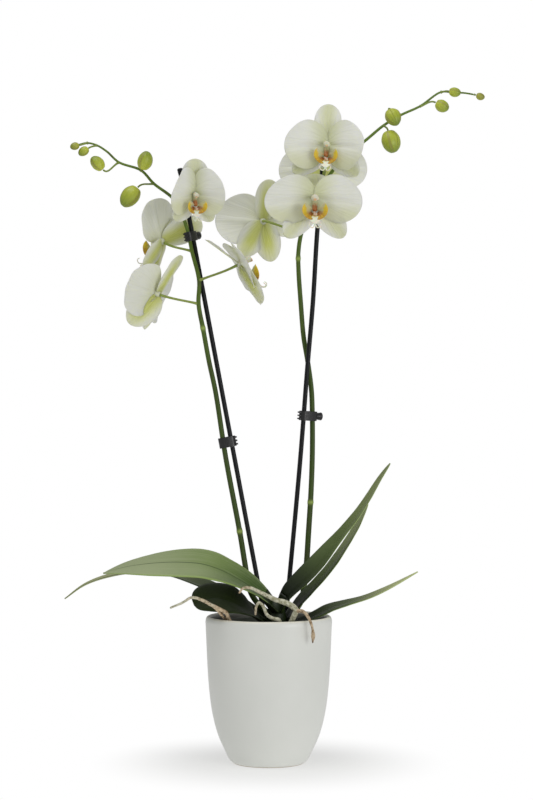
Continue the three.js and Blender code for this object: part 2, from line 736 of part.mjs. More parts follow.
function flowerStalk(flower) {
  const face = vec(flower.face).normalize();
  const end = vec(flower.at).addScaledVector(face, -HUB_RADIUS * flower.size * 0.9 - GAP);
  const points = stalkPoints(SPIKES[flower.spike], flower.stalk, end, face);
  return bar(points, () => FLOWER_STALK_RADIUS, 5, 4);
}

// ---------------------------------------------------------------- buds
// at: the bud's middle. axis: from its foot to its tip. stalk: the spike's point it grows from.
const BUDS = [
  {
    name: "left_1", at: [-148, 0, 603], axis: [-0.6, -0.1, -0.75], length: 26, width: 20,
    spike: 0, stalk: 17,
  },
  {
    name: "left_2", at: [-131.5, -12, 640.5], axis: [0.3, -0.25, 0.95], length: 21, width: 16.5,
    spike: 0, stalk: 18,
  },
  {
    name: "left_3", at: [-182.5, -7, 638], axis: [-0.6, -0.1, 0.65], length: 18, width: 14,
    spike: 0, stalk: 19,
  },
  {
    name: "left_4", at: [-197, -8, 650.5], axis: [-0.7, -0.2, -0.5], length: 12.5, width: 10,
    spike: 0, stalk: 21,
  },
  {
    name: "left_5", at: [-206, -12.5, 655.5], axis: [-0.9, -0.3, -0.25], length: 10, width: 8.5,
    spike: 0, stalk: 22,
  },
  {
    name: "right_1", at: [130, -8, 661], axis: [0.25, -0.1, -0.95], length: 25, width: 21,
    spike: 1, stalk: 22,
  },
  {
    name: "right_2", at: [132, -14, 686], axis: [0.35, -0.35, -0.7], length: 20, width: 17.5,
    spike: 1, stalk: 23,
  },
  {
    name: "right_3", at: [184.5, -8, 699], axis: [0.75, -0.1, -0.4], length: 15.5, width: 13.5,
    spike: 1, stalk: 24,
  },
  {
    name: "right_4", at: [197.5, -13, 713], axis: [0.9, -0.2, -0.15], length: 13, width: 10.5,
    spike: 1, stalk: 25,
  },
  {
    name: "right_5", at: [225, -8.5, 709], axis: [0.95, 0, -0.3], length: 9.5, width: 8,
    spike: 1, stalk: 28,
  },
];

// A plump egg with a blunt beak, where the closed sepals meet.
function budBody(bud) {
  const outline = [[0, -0.5], [0.62, -0.42], [1, -0.1], [0.9, 0.2], [0.42, 0.45], [0, 0.5]];
  const egg = turned(outline.map(([r, z]) => [(r * bud.width) / 2, z * bud.length]), 7);
  const turn = new THREE.Quaternion().setFromUnitVectors(vec([0, 0, 1]), vec(bud.axis).normalize());
  const place = new THREE.Matrix4().makeRotationFromQuaternion(turn).setPosition(vec(bud.at));
  return egg.transform(place.elements);
}

function budStalk(bud) {
  const axis = vec(bud.axis).normalize();
  const end = vec(bud.at).addScaledVector(axis, -bud.length / 2 - GAP);
  const points = stalkPoints(SPIKES[bud.spike], bud.stalk, end, axis);
  return bar(points, () => Math.min(BUD_STALK_RADIUS, bud.width / 8), 4, 2);
}

// A spike with the stalks of its own flowers and buds, clear of the crown it grows from.
function spikeBody(spike, number, neighbours) {
  const stem = bar(spike.points, (share) => spikeRadius(spike, share), 6, spike.steps);
  const stalks = [
    ...FLOWERS.filter((flower) => flower.spike === number).map(flowerStalk),
    ...BUDS.filter((bud) => bud.spike === number).map(budStalk),
  ];
  return cut(join([stem, ...stalks]), neighbours);
}

// ---------------------------------------------------------------- clips
// A clip's band goes round a stake and its spike at one height. Its grips are ribs on one end of
// the band, and its hinge is a short barrel on the other.
const CLIPS = [
  { name: "clip_left_upper", pair: 0, height: 561.5, tall: 10, bore: 3, hinge: "stake" },
  { name: "clip_left_lower", pair: 0, height: 342, tall: 11, bore: 3.3, hinge: "none" },
  { name: "clip_right_lower", pair: 1, height: 369.5, tall: 10, bore: 3.4, hinge: "spike" },
];

// Where a stake or a spike passes a height.
function passing(points, height) {
  const curve = curveThrough(points);
  const climbs = points[0][2] < points.at(-1)[2];
  let [low, high] = [0, 1];
  while (high - low > 1e-6) {
    const middle = (low + high) / 2;
    if (curve.getPointAt(middle).z > height === climbs) high = middle;
    else low = middle;
  }
  return curve.getPointAt(low);
}

function clipBody(clip) {
  const stake = passing(STAKES[clip.pair].points, clip.height);
  const stakeBelow = passing(STAKES[clip.pair].points, clip.height - 5);
  const spike = passing(SPIKES[clip.pair].points, clip.height);
  const along = stake.clone().sub(stakeBelow).normalize();
  const across = spike.clone().sub(stake);
  across.addScaledVector(along, -across.dot(along));
  const spacing = across.length();
  const front = new THREE.Vector3().crossVectors(along, across.normalize());
  const outer = clip.bore + CLIP_WALL;
  const loop = (Outline, radius) => {
    const outline = new Outline();
    outline.absarc(0, 0, radius, Math.PI / 2, (3 * Math.PI) / 2);
    outline.absarc(spacing, 0, radius, -Math.PI / 2, Math.PI / 2);
    return outline;
  };
  const band = loop(THREE.Shape, outer);
  band.holes.push(loop(THREE.Path, clip.bore));
  const settings = { depth: clip.tall, bevelEnabled: false, curveSegments: 3 };
  const ring = new THREE.ExtrudeGeometry(band, settings);
  const ends = [-outer, spacing + outer];
  const [gripEnd, hingeEnd] = clip.hinge === "stake" ? ends.toReversed() : ends;
  const grips = [-0.28, 0.28].map((level) =>
    solid(new THREE.BoxGeometry(3, 6, 0.2 * clip.tall)).translate([gripEnd, 0, level * clip.tall]),
  );
  const pieces = [solid(ring).translate([0, 0, -clip.tall / 2]), ...grips];
  if (clip.hinge !== "none") {
    const barrel = turned([[0, -3.5], [3.4, -3.5], [4.4, 3.5], [0, 3.5]], 8);
    const outward = Math.sign(hingeEnd);
    pieces.push(barrel.rotate([0, 90 * outward, 0]).translate([hingeEnd + 2.2 * outward, 0, 0]));
  }
  const place = new THREE.Matrix4().makeBasis(across, front, along).setPosition(stake);
  return join(pieces).transform(place.elements);
}

// ---------------------------------------------------------------- the whole plant
const orchid = new THREE.Group();
const add = (name, body, material) => orchid.add(meshOf(name, body, material));

const crownWithAir = crownBody(GAP);
const stakesWithAir = STAKES.map((stake) => stakeBody(stake, GAP));
const rootsWithAir = ROOTS.map((root) => rootBody(root, GAP));

add("pot", potBody(), glaze);
add("nursery_pot", nurseryBody(), nurseryPlastic);
add("bark", barkBody([crownWithAir, ...stakesWithAir, ...rootsWithAir]), barkBrown);
add("crown", crownBody(), crownGreen);
LEAVES.forEach((leaf) => add(leaf.name, leafBody(leaf, [crownWithAir]), leafGreen));
ROOTS.forEach((root) => add(root.name, rootBody(root), rootSilver));
STAKES.forEach((stake) => add(stake.name, cappedStake(stake), stakeBlack));
SPIKES.forEach((spike, i) => add(spike.name, spikeBody(spike, i, [crownWithAir]), stemGreen));
CLIPS.forEach((clip) => add(clip.name, clipBody(clip), clipBlack));
FLOWERS.forEach((flower, i) => {
  add(`flower_${flower.name}`, flowerBody(flower, i), petalWhite);
  add(`lip_${flower.name}`, lipBody(flower, [flowerBody(flower, i, GAP)]), lipYellow);
});
BUDS.forEach((bud) => add(`bud_${bud.name}`, budBody(bud), budGreen));

export default orchid;
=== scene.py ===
"""A moth orchid in a white glazed pot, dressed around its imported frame.

Shapes are worked out in millimetres and brought to metres as each piece is finished.
+Z is up, and -Y is the plant's front.
"""

import math
import random
from bisect import bisect
from math import cos, pi, sin, sqrt

import bmesh
import bpy
from mathutils import Matrix, Vector, noise


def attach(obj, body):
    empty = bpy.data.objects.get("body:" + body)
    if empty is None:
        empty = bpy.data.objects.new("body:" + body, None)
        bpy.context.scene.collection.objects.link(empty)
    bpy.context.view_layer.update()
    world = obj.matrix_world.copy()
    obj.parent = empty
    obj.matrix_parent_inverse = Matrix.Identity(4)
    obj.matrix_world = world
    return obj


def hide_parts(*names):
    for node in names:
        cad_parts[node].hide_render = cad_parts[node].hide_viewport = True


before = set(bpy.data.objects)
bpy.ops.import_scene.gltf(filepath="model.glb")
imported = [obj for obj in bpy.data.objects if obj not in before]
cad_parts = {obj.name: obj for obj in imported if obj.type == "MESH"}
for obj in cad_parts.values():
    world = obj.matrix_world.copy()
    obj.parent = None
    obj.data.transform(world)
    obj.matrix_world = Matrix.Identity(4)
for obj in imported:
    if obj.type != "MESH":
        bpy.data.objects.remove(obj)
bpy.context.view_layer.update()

# -------------------- glazed pot
# A slip-cast cover pot in white stoneware under one satin glaze, bare where it stands. Its wall
# swells out of a small foot, rises almost straight, and ends in a soft round rim, whose top is
# painted a lighter cream as a painted highlight. The wall's inside is darkened as painted shade.
POT_OUTLINE = [(37.5, 0), (41.5, 3), (47.2, 14), (54, 29.5), (60, 52), (64, 83), (67.5, 150)]
POT_SEAT = 36.5
POT_WALL = 6
POT_RIM_RISE = 6
POT_FLOOR = 8
POT_INSIDE = [(61.5, 150), (54, 52), (41.2, 14), (39.2, POT_FLOOR), (0, POT_FLOOR)]


def lerp(a, b, share):
    """The value at a share of the way from a to b."""
    return a + (b - a) * share


def clamp(value, low, high):
    return max(low, min(high, value))


class Path:
    """A smooth curve through points (centripetal Catmull-Rom), measured along its length."""

    PARTS = 24

    def __init__(self, points):
        points = [Vector(point) for point in points]
        before = 2 * points[0] - points[1]
        after = 2 * points[-1] - points[-2]
        spread = [before, *points, after]
        self.places = [points[0]]
        for knots in zip(spread, spread[1:], spread[2:], spread[3:]):
            self.places += [self.between(knots, part / self.PARTS) for part in range(1, self.PARTS + 1)]
        self.marks = [0.0]
        for a, b in zip(self.places, self.places[1:]):
            self.marks.append(self.marks[-1] + (b - a).length)
        self.length = self.marks[-1]

    @staticmethod
    def between(knots, part):
        p0, p1, p2, p3 = knots
        d0, d1, d2 = [sqrt((b - a).length) for a, b in zip(knots, knots[1:])]
        leaving = (p1 - p0) / d0 - (p2 - p0) / (d0 + d1) + (p2 - p1) / d1
        arriving = (p2 - p1) / d1 - (p3 - p1) / (d1 + d2) + (p3 - p2) / d2
        leaving, arriving = leaving * d1, arriving * d1
        square = 3 * (p2 - p1) - 2 * leaving - arriving
        cube = 2 * (p1 - p2) + leaving + arriving
        return p1 + leaving * part + square * part**2 + cube * part**3

    def at(self, share):
        mark = clamp(share, 0, 1) * self.length
        i = clamp(bisect(self.marks, mark), 1, len(self.marks) - 1)
        part = (mark - self.marks[i - 1]) / (self.marks[i] - self.marks[i - 1])
        return self.places[i - 1].lerp(self.places[i], part)

    def way(self, share):
        step = 1.5 / self.length
        return (self.at(min(1, share + step)) - self.at(max(0, share - step))).normalized()


class Wire:
    """A socket in a material's node tree. Arithmetic on wires adds Math nodes to the tree."""

    def __init__(self, tree, socket=None):
        self.tree = tree
        self.socket = socket

    def node(self, kind, settings=None, sockets=None, output=0):
        """Adds any other node, its settings set first, and wraps one of its outputs."""
        made = self.tree.nodes.new("ShaderNode" + kind)
        for name, value in (settings or {}).items():
            setattr(made, name, value)
        for name, value in (sockets or {}).items():
            socket = made.inputs[name]
            if isinstance(value, Wire):
                self.tree.links.new(value.socket, socket)
            elif socket.type == "RGBA":
                socket.default_value = (*value, 1)
            else:
                socket.default_value = value
        return Wire(self.tree, made.outputs[output] if made.outputs else None)

    def maths(self, operation, *values):
        return self.node("Math", {"operation": operation}, dict(enumerate(values)))

    def __add__(self, other):
        return self.maths("ADD", self, other)

    def __radd__(self, other):
        return self.maths("ADD", other, self)

    def __sub__(self, other):
        return self.maths("SUBTRACT", self, other)

    def __rsub__(self, other):
        return self.maths("SUBTRACT", other, self)

    def __mul__(self, other):
        return self.maths("MULTIPLY", self, other)

    def __rmul__(self, other):
        return self.maths("MULTIPLY", other, self)


def material(name):
    made = bpy.data.materials.new(name)
    made.use_nodes = True
    made.node_tree.nodes.clear()
    return made, Wire(made.node_tree)


def tint(mask, low, high):
    """A colour from low, where the mask is 0, to high, where it is 1."""
    return mask.node("Mix", {"data_type": "RGBA"}, {0: mask, 6: low, 7: high}, output=2)


def between(value, low, high):
    """A mask that climbs smoothly from 0 to 1 as a value goes from low to high."""
    ends = {0: value, 1: low, 2: high}
    return value.node("MapRange", {"interpolation_type": "SMOOTHSTEP"}, ends)


def parts_of(vector):
    """The three numbers of a vector."""
    split = vector.node("SeparateXYZ", {}, {0: vector}).socket.node
    return [Wire(vector.tree, output) for output in split.outputs]


def grain(wire, scale, stretch=(1, 1, 1), detail=3, place=None):
    """Noise from 0 to 1. Its scale is in cells a metre on the object, or a unit of place."""
    place = place or wire.node("TexCoord", output=3)
    spread = wire.node("Mapping", {"vector_type": "POINT"}, {"Vector": place, "Scale": stretch})
    return wire.node("TexNoise", {}, {"Vector": spread, "Scale": scale, "Detail": detail})


def relief(height, depth, strength=1):
    """The normal of a surface that rises by depth, in metres, where height is 1."""
    return height.node("Bump", {}, {"Height": height, "Distance": depth, "Strength": strength})


def surface(wire, color, roughness, normal=None, fixed=None):
    """Ends a material in its shader. What is fixed is the same all over the surface."""
    sockets = {"Base Color": color, "Roughness": roughness, **(fixed or {})}
    if normal:
        sockets["Normal"] = normal
    shader = wire.node("BsdfPrincipled", {}, sockets)
    wire.node("OutputMaterial", {}, {"Surface": shader})


def new_shape():
    """An empty shape whose vertices carry where they lie on their piece, for its finish to read."""
    shape = bmesh.new()
    shape.verts.layers.float_vector.new("lay")
    shape.verts.layers.int.new("number")
    return shape


def finish_piece(name, shape, finishes, slot, *nodes):
    """Makes a shape in millimetres an object in metres that stands for its nodes."""
    shape.verts.layers.int.remove(shape.verts.layers.int["number"])
    bmesh.ops.recalc_face_normals(shape, faces=shape.faces)
    mesh = bpy.data.meshes.new(name)
    shape.to_mesh(mesh)
    shape.free()
    mesh.transform(Matrix.Scale(0.001, 4))
    for finish in finishes:
        mesh.materials.append(finish)
    mesh.shade_smooth()
    piece = bpy.data.objects.new(name, mesh)
    bpy.context.collection.objects.link(piece)
    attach(piece, "root")
    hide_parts(*nodes)
    return piece


def spin_outline(shape, outline, steps):
    """A body of revolution about Z from (radius, height) points."""
    verts = [shape.verts.new((r, 0, z)) for r, z in outline]
    edges = [shape.edges.new(pair) for pair in zip(verts, verts[1:])]
    bmesh.ops.spin(
        shape, geom=verts + edges, cent=(0, 0, 0), axis=(0, 0, 1), angle=2 * pi, steps=steps,
        use_merge=True,
    )
    bmesh.ops.remove_doubles(shape, verts=shape.verts, dist=1e-4)


def glaze_finish():
    finish, wire = material("satin_white_glaze")
    place = wire.node("TexCoord", output=3)
    height = parts_of(place)[2]
    level = wire.node("VectorMath", {"operation": "MULTIPLY"}, {0: place, 1: (1, 1, 0)})
    out = wire.node("VectorMath", {"operation": "LENGTH"}, {0: level}, output=1)
    cloud = grain(wire, 16, detail=2)
    pinhole = between(grain(wire, 900, detail=1), 0.74, 0.8)
    body = tint(cloud, (0.74, 0.755, 0.71), (0.82, 0.83, 0.79))
    # Painted highlight: a lighter cream band along the top of the rim.
    rim = between(height, 0.1535, 0.1558)
    thin = tint(rim, body, (0.84, 0.82, 0.7))
    bare = 1 - between(height, 0.0004, 0.0012)
    # Painted shade: the inner wall below the rim is tinted nearly black, where shadow falls inside the
    # pot.
    inside = (1 - between(out, 0.0616, 0.063)) * between(height, 0.11, 0.13)
    shaded_inside = tint(inside * 0.9, thin, (0.09, 0.09, 0.065))
    color = tint(bare, shaded_inside, (0.55, 0.48, 0.38))
    skin = grain(wire, 140, detail=4) * 0.5 - pinhole * 0.5
    roughness = 0.34 + cloud * 0.1 + bare * 0.4
    surface(wire, color, roughness, relief(skin, 0.00012), {"Coat Weight": 0.25, "Coat Roughness": 0.3})
    return finish


shape = new_shape()
pot_side = Path([(r, 0, z) for r, z in POT_OUTLINE])
pot_outside = [(p.x, p.z) for p in (pot_side.at(i / 64) for i in range(65))]
rim_radius, rim_foot = POT_OUTLINE[-1]
rim_middle = rim_radius - POT_WALL / 2
pot_rim = [
    (rim_middle + POT_WALL / 2 * cos(turn), rim_foot + POT_RIM_RISE * sin(turn))
    for turn in (i * pi / 20 for i in range(1, 20))
]
spin_outline(shape, [(0, 0), (POT_SEAT, 0), *pot_outside, *pot_rim, *POT_INSIDE], steps=160)
finish_piece("glazed_pot", shape, [glaze_finish()], "glaze", "pot")

# -------------------- nursery pot
# The thin plastic pot that the plant was raised in, drawn from clear sheet. It stands loose in
# the glazed pot, and only its rolled lip shows, just under the rim.
NURSERY_OUTLINE = [
    (0, 8.3), (36, 8.3), (57.5, 145.8), (59.3, 145.8), (59.6, 146.1), (59.6, 148.7), (59.3, 149),
    (57, 149), (56.8, 148.8), (34.8, 9.5), (0, 9.5),
]


def clear_plastic_finish():
    finish, wire = material("clear_plastic")
    flow = grain(wire, 30, (1, 1, 0.3))
    color = tint(flow, (0.02, 0.026, 0.018), (0.07, 0.08, 0.06))
    surface(wire, color, 0.25 + flow * 0.15, relief(flow, 0.0002), {"Specular IOR Level": 0.3})
    return finish


shape = new_shape()
spin_outline(shape, NURSERY_OUTLINE, steps=96)
finish_piece("nursery_pot_shell", shape, [clear_plastic_finish()], "clear_plastic", "nursery_pot")

# -------------------- bark
# Orchid bark: split fir chips, loose and tumbled, dark with water below and dusty at the edges.
# The bed is one body to the nursery pot's wall, and the chips lie in its top.
BARK_OUTLINE = [(0, 9.8), (34.4, 9.8), (55, 137), (53, 140), (0, 140.5)]
BARK_TOP = 140
BARK_SPREAD = 49
BARK_CHIPS = 110
BARK_SEED = 71


def bark_finish():
    finish, wire = material("orchid_bark")
    fibre = grain(wire, 260, (1, 0.25, 1), detail=6)
    patch = grain(wire, 60)
    brown = tint(between(fibre, 0.3, 0.7), (0.018, 0.011, 0.007), (0.11, 0.062, 0.034))
    color = tint(between(patch, 0.62, 0.75), brown, (0.2, 0.14, 0.09))
    surface(wire, color, 0.8 + fibre * 0.15, relief(fibre, 0.0012))
    return finish


def edges_of(verts):
    """The edges that meet some vertices, each once and always in the same order."""
    return list(dict.fromkeys(edge for vert in verts for edge in vert.link_edges))


def break_edges(shape, edges, width, segments):
    """Bevels edges as wear or a mould leaves them, and gives the new vertices."""
    return bmesh.ops.bevel(
        shape, geom=edges, offset=width, offset_type="OFFSET", segments=segments, profile=0.5,
        affect="EDGES", material=-1,
    )["verts"]


def add_bark_chip(shape, draw):
    """One split chip: a block with knocked-off edges, half sunk in the bed."""
    ring = sqrt(draw.uniform(0.01, 1)) * BARK_SPREAD
    turn = draw.uniform(0, 2 * pi)
    size = Matrix.Diagonal((draw.uniform(9, 20), draw.uniform(6, 12), draw.uniform(4, 8), 1))
    tumble = Matrix.Rotation(draw.uniform(-0.5, 0.5), 4, "X")
    tumble = tumble @ Matrix.Rotation(draw.uniform(0, pi), 4, "Z")
    tumble = Matrix.Rotation(draw.uniform(-0.45, 0.45), 4, "Y") @ tumble
    height = BARK_TOP + draw.uniform(-3, 1)
    spot = Matrix.Translation((ring * cos(turn), ring * sin(turn), height))
    chip = bmesh.ops.create_cube(shape, size=1, matrix=spot @ tumble @ size)["verts"]
    for vert in break_edges(shape, edges_of(chip), draw.uniform(0.8, 1.6), segments=1):
        vert.co += 0.7 * noise.noise_vector(vert.co * 0.35)


shape = new_shape()
spin_outline(shape, BARK_OUTLINE, steps=64)
draw = random.Random(BARK_SEED)
for _ in range(BARK_CHIPS):
    add_bark_chip(shape, draw)
bark_bed = finish_piece("bark_bed", shape, [bark_finish()], "bark", "bark")
bark_bed.data.shade_flat()

# -------------------- leaves and crown
# Six strap leaves, thick and leathery, folded along the midrib and each wrapped on the short stem
# by its sheath. The upper side is satin, darkest at the foot, and the underside paler.
LEAF_THICKNESS = 2
SHEATH_THICKNESS = 3.6
SHEATH_SHARE = 0.085
SHEATH_GAP = 0.3
# A leaf starts at the share foot of its width and is broadest at the share widest of its length.
# The smaller blunt is, the rounder its tip. It lifts and folds by two angles each, at its foot
# and its tip. A fresh leaf is lighter green, and a pale one is bleached towards its tip. The low
# fresh values of the low and back leaves also paint them darker, as painted shade.
LEAVES = {
    "left_top": dict(
        path=[
            (4, -13, 162), (-7, -18, 176), (-20, -23, 188), (-36, -28, 198.5), (-52, -32, 207),
            (-70, -34, 213), (-90, -35.5, 215), (-110, -36, 215), (-132, -36, 213.2),
            (-152, -35, 210), (-174, -34, 204),
        ],
        width=57, foot=0.55, widest=0.44, blunt=0.9,
        lift=(0.5, 0.5), fold=(0.6, -0.08), fresh=1, pale=0.1,
    ),
    "left_back": dict(
        path=[
            (2, 0, 148), (-20, 5, 161), (-47, 12, 174.5), (-74, 19, 186.5), (-106, 26, 197),
            (-139, 31, 200), (-171, 34, 195.5), (-199, 35, 186), (-221, 35, 171),
        ],
        width=44, foot=0.42, widest=0.45, blunt=0.8,
        lift=(0.1, 0.05), fold=(0.5, 0.12), fresh=0.15, pale=0.6,
    ),
    "left_low": dict(
        path=[
            (-3, -13, 146), (-18, -19, 158.5), (-37, -21, 170.5), (-54, -21, 175.8),
            (-67, -23.5, 175), (-79, -26, 170),
        ],
        width=48, foot=0.28, widest=0.7, blunt=0.42,
        lift=(0.28, 0.62), fold=(0.5, 0.1), fresh=0, pale=0,
    ),
    "right_top": dict(
        path=[
            (13, -12, 162), (23, -15, 181.5), (39, -16, 198), (53.5, -16, 213), (67.5, -15, 229.5),
            (82, -13.5, 247), (94.5, -12, 263), (107, -11, 282.5), (119, -10, 303.5), (129, -9, 319),
        ],
        width=27, foot=0.75, widest=0.32, blunt=0.6,
        lift=(0.8, 0.25), fold=(0.62, 0.25), fresh=1, pale=0.25,
    ),
    "right_back": dict(
        path=[
            (19, -3.8, 152), (32, -1.4, 170), (43, 1, 182), (54.5, 3, 194), (66.5, 5.5, 208),
            (76.5, 8, 222), (86, 10, 236.5), (93.5, 11.5, 249), (99.5, 13, 261), (106.5, 15, 274.5),
        ],
        width=24, foot=0.64, widest=0.6, blunt=0.7,
        lift=(0.3, 0.1), fold=(0.2, 0.08), fresh=1, pale=0.3,
    ),
    "right_low": dict(
        path=[
            (18, -6, 148), (38, -7, 152), (54, -5, 158.5), (66, -2, 164), (82, 2, 168.5),
            (105, 6, 175), (130, 10, 186), (160, 13, 202),
        ],
        width=24, foot=0.45, widest=0.4, blunt=0.8,
        lift=(0.26, 0.08), fold=(0.36, 0.06), fresh=1, pale=1,
    ),
}
CROWN_MIDDLE = Vector((8, -6, 0))
CROWN_OUTLINE = [(0, 112), (4, 112), (9, 136), (11, 150), (9.5, 163), (5, 174), (0, 176)]


def smoothstep(value, low, high):
    rise = clamp((value - low) / (high - low), 0, 1)
    return rise * rise * (3 - 2 * rise)


def leaf_breadth(leaf, share):
    """Half the leaf's breadth at a share of its length."""
    half = leaf["width"] / 2
    if share < leaf["widest"]:
        return half * lerp(leaf["foot"], 1, sin(share / leaf["widest"] * pi / 2))
    fall = (share - leaf["widest"]) / (1 - leaf["widest"])
    return half * max(0.03, (1 - fall * fall) ** leaf["blunt"])


def leaf_surface(leaf, path, first, last):
    """The middle surface of a leaf between two shares of its length; v = 1 is its far edge."""

    def at(s, v):
        share = clamp(lerp(first, last, (s + 1) / 2), 0, 1)
        tangent = path.way(share)
        hand = math.copysign(1, tangent.x)
        level = Vector((-tangent.y, tangent.x, 0)).normalized() * hand
        rise = tangent.cross(level) * hand
        lift = lerp(*leaf["lift"], smoothstep(share, 0.2, 0.6))
        side = level * cos(lift) + rise * sin(lift)
        normal = rise * cos(lift) - level * sin(lift)
        fold = lerp(*leaf["fold"], min(1, sqrt(share) * 1.15))
        breadth = leaf_breadth(leaf, share) * v
        valley = sqrt(breadth * breadth + 4) - 2
        return path.at(share) + side * (breadth * cos(fold)) + normal * (valley * sin(fold))

    return at


def verts_among(made):
    """The vertices among what an operator made."""
    return [item for item in made if isinstance(item, bmesh.types.BMVert)]


def add_blade(shape, at, thickness_at, lay_at, rows, columns):
    """A thin closed blade about the middle surface at(s, v), s and v from -1 to 1.

    lay_at(s, v) gives two numbers for the finish, and the third is the side: -1 or 1.
    """
    lay = shape.verts.layers.float_vector["lay"]
    number = shape.verts.layers.int["number"]
    first_face = len(shape.faces)
    verts = bmesh.ops.create_grid(shape, x_segments=columns, y_segments=rows, size=1)["verts"]
    shape.faces.ensure_lookup_table()
    faces = shape.faces[first_face:]
    spots = [(vert.co.y, vert.co.x) for vert in verts]
    for i, (vert, (s, v)) in enumerate(zip(verts, spots)):
        vert[number] = i
        vert[lay] = (*lay_at(s, v), -1)
        vert.co = at(s, v)
    for face in faces:
        face.normal_update()
    halves = []
    for vert, (s, v) in zip(verts, spots):
        vert.normal_update()
        halves.append(vert.normal * (thickness_at(s, v) / 2))
    made = bmesh.ops.extrude_face_region(shape, geom=faces, use_keep_orig=True)["geom"]
    for vert in verts:
        vert.co -= halves[vert[number]]
    for vert in verts_among(made):
        vert.co += halves[vert[number]]
        vert[lay] = (*vert[lay][:2], 1)


def edge_thinning(v):
    """How a blade's thickness falls to nothing at its long edges, where v is -1 or 1."""
    return sqrt(max(0, 1 - v**8))


def lay_of(wire):
    """Where a point lies on its piece, as the piece's vertices carry it."""
    return wire.node("Attribute", {"attribute_name": "lay"}, output=1)


def lerp_color(a, b, share):
    return tuple(lerp(one, other, share) for one, other in zip(a, b))


def leaf_finish(name, young, pale):
    """Leaf green along lay: x across the blade, y from its foot to its tip, z its side. A young
    leaf is a lighter green, and a pale one bleached towards its tip. The old, dark greens also
    stand for painted shade, and the near half and the tip carry painted light."""
    finish, wire = material(name)
    lay = lay_of(wire)
    across, along, side = parts_of(lay)
    vein = grain(wire, 5, (9, 0.5, 0), detail=4, place=lay)
    mottle = grain(wire, 45, detail=4)
    off_middle = across.maths("ABSOLUTE", across)
    midrib = 1 - between(off_middle, 0.0, 0.05)
    margin = between(off_middle, 0.86, 0.97)

    # The dark greens given to a leaf that is not young also stand for painted shade on the leaves and
    # the crown that lie under others.
    def aged_and_shaded(old, fresh):
        return lerp_color(old, fresh, young)

    deep = tint(
        mottle, aged_and_shaded((0.006, 0.014, 0.001), (0.024, 0.062, 0.001)),
        aged_and_shaded((0.013, 0.026, 0.002), (0.05, 0.11, 0.004)),
    )
    fresh = tint(
        mottle, aged_and_shaded((0.016, 0.028, 0.004), (0.15, 0.23, 0.05)),
        aged_and_shaded((0.026, 0.042, 0.008), (0.23, 0.32, 0.1)),
    )
    # The tip's lighter grey green is partly the leaf's own paler green and partly a painted sheen. On a
    # pale leaf it is also bleaching.
    tip = lerp_color(aged_and_shaded((0.03, 0.045, 0.012), (0.33, 0.39, 0.22)), (0.7, 0.74, 0.32), pale)
    light = aged_and_shaded((0.05, 0.075, 0.02), (0.42, 0.48, 0.28))
    blade = tint(between(along + across * 0.1, 0.16, 0.5), deep, fresh)
    grown = tint(between(along, 0.3, 0.85) * 0.9, blade, tip)
    # Painted light: the blade's near half is painted lighter from its middle outwards, where light
    # falls on that side of the fold.
    half = tint(between(-1 * across, -0.2, 0.6) * between(along, 0.1, 0.5) * 0.3, grown, light)
    veined = tint(between(vein, 0.45, 0.75) * 0.6, half, light)
    ribbed = tint(midrib * 0.75, veined, (0.02, 0.04, 0.008))
    upper = tint(margin * 0.8, ribbed, aged_and_shaded((0.03, 0.05, 0.01), (0.3, 0.42, 0.11)))
    under = tint(
        mottle, aged_and_shaded((0.02, 0.03, 0.01), (0.07, 0.11, 0.025)),
        aged_and_shaded((0.04, 0.055, 0.02), (0.12, 0.17, 0.05)),
    )
    shaded = tint(between(along, 0.1, 0.5), (0.008, 0.014, 0.004), under)
    lower = tint(between(along, 0.4, 0.9) * pale, shaded, (0.6, 0.66, 0.3))
    color = tint(between(side, -0.2, 0.2), lower, upper)
    roughness = 0.32 + vein * 0.16 + mottle * 0.06
    rise = relief(vein * 0.8 - midrib * 0.9, 0.00015)
    surface(wire, color, roughness, rise, {"Specular IOR Level": 0.3})
    return finish


def leaf_thickness(s, v):
    return LEAF_THICKNESS * (1.05 - 0.4 * max(0, s)) * max(0.12, edge_thinning(v))


for name, leaf in LEAVES.items():
    path = Path(leaf["path"])
    first = SHEATH_SHARE + SHEATH_GAP / path.length

    def along_leaf(s, v):
        return v, lerp(first, 1, (s + 1) / 2)

    shape = new_shape()
    middle = leaf_surface(leaf, path, first, 1)
    add_blade(shape, middle, leaf_thickness, along_leaf, rows=96, columns=20)
    green = leaf_finish(f"leaf_{name}_green", leaf["fresh"], leaf["pale"])
    finish_piece(f"leaf_{name}_blade", shape, [green], "leaf", f"leaf_{name}")

shape = new_shape()
spin_outline(shape, CROWN_OUTLINE, steps=40)
bmesh.ops.translate(shape, vec=CROWN_MIDDLE, verts=shape.verts)
for leaf in LEAVES.values():
    add_blade(
        shape, leaf_surface(leaf, Path(leaf["path"]), 0, SHEATH_SHARE),
        lambda s, v: SHEATH_THICKNESS * max(0.2, edge_thinning(v)),
        lambda s, v: (v, SHEATH_SHARE * (s + 1) / 2), rows=10, columns=20,
    )
# The crown takes the oldest, darkest green, which here stands for painted shade among the sheaths.
finish_piece("crown_stem", shape, [leaf_finish("crown_green", 0, 0)], "leaf", "crown")

# -------------------- aerial roots
# Three roots that grew out of the bark and over the rim. Their corky skin is silver green where
# it is sound, shrunk and straw brown where it has dried, and darkest at a dead tip.

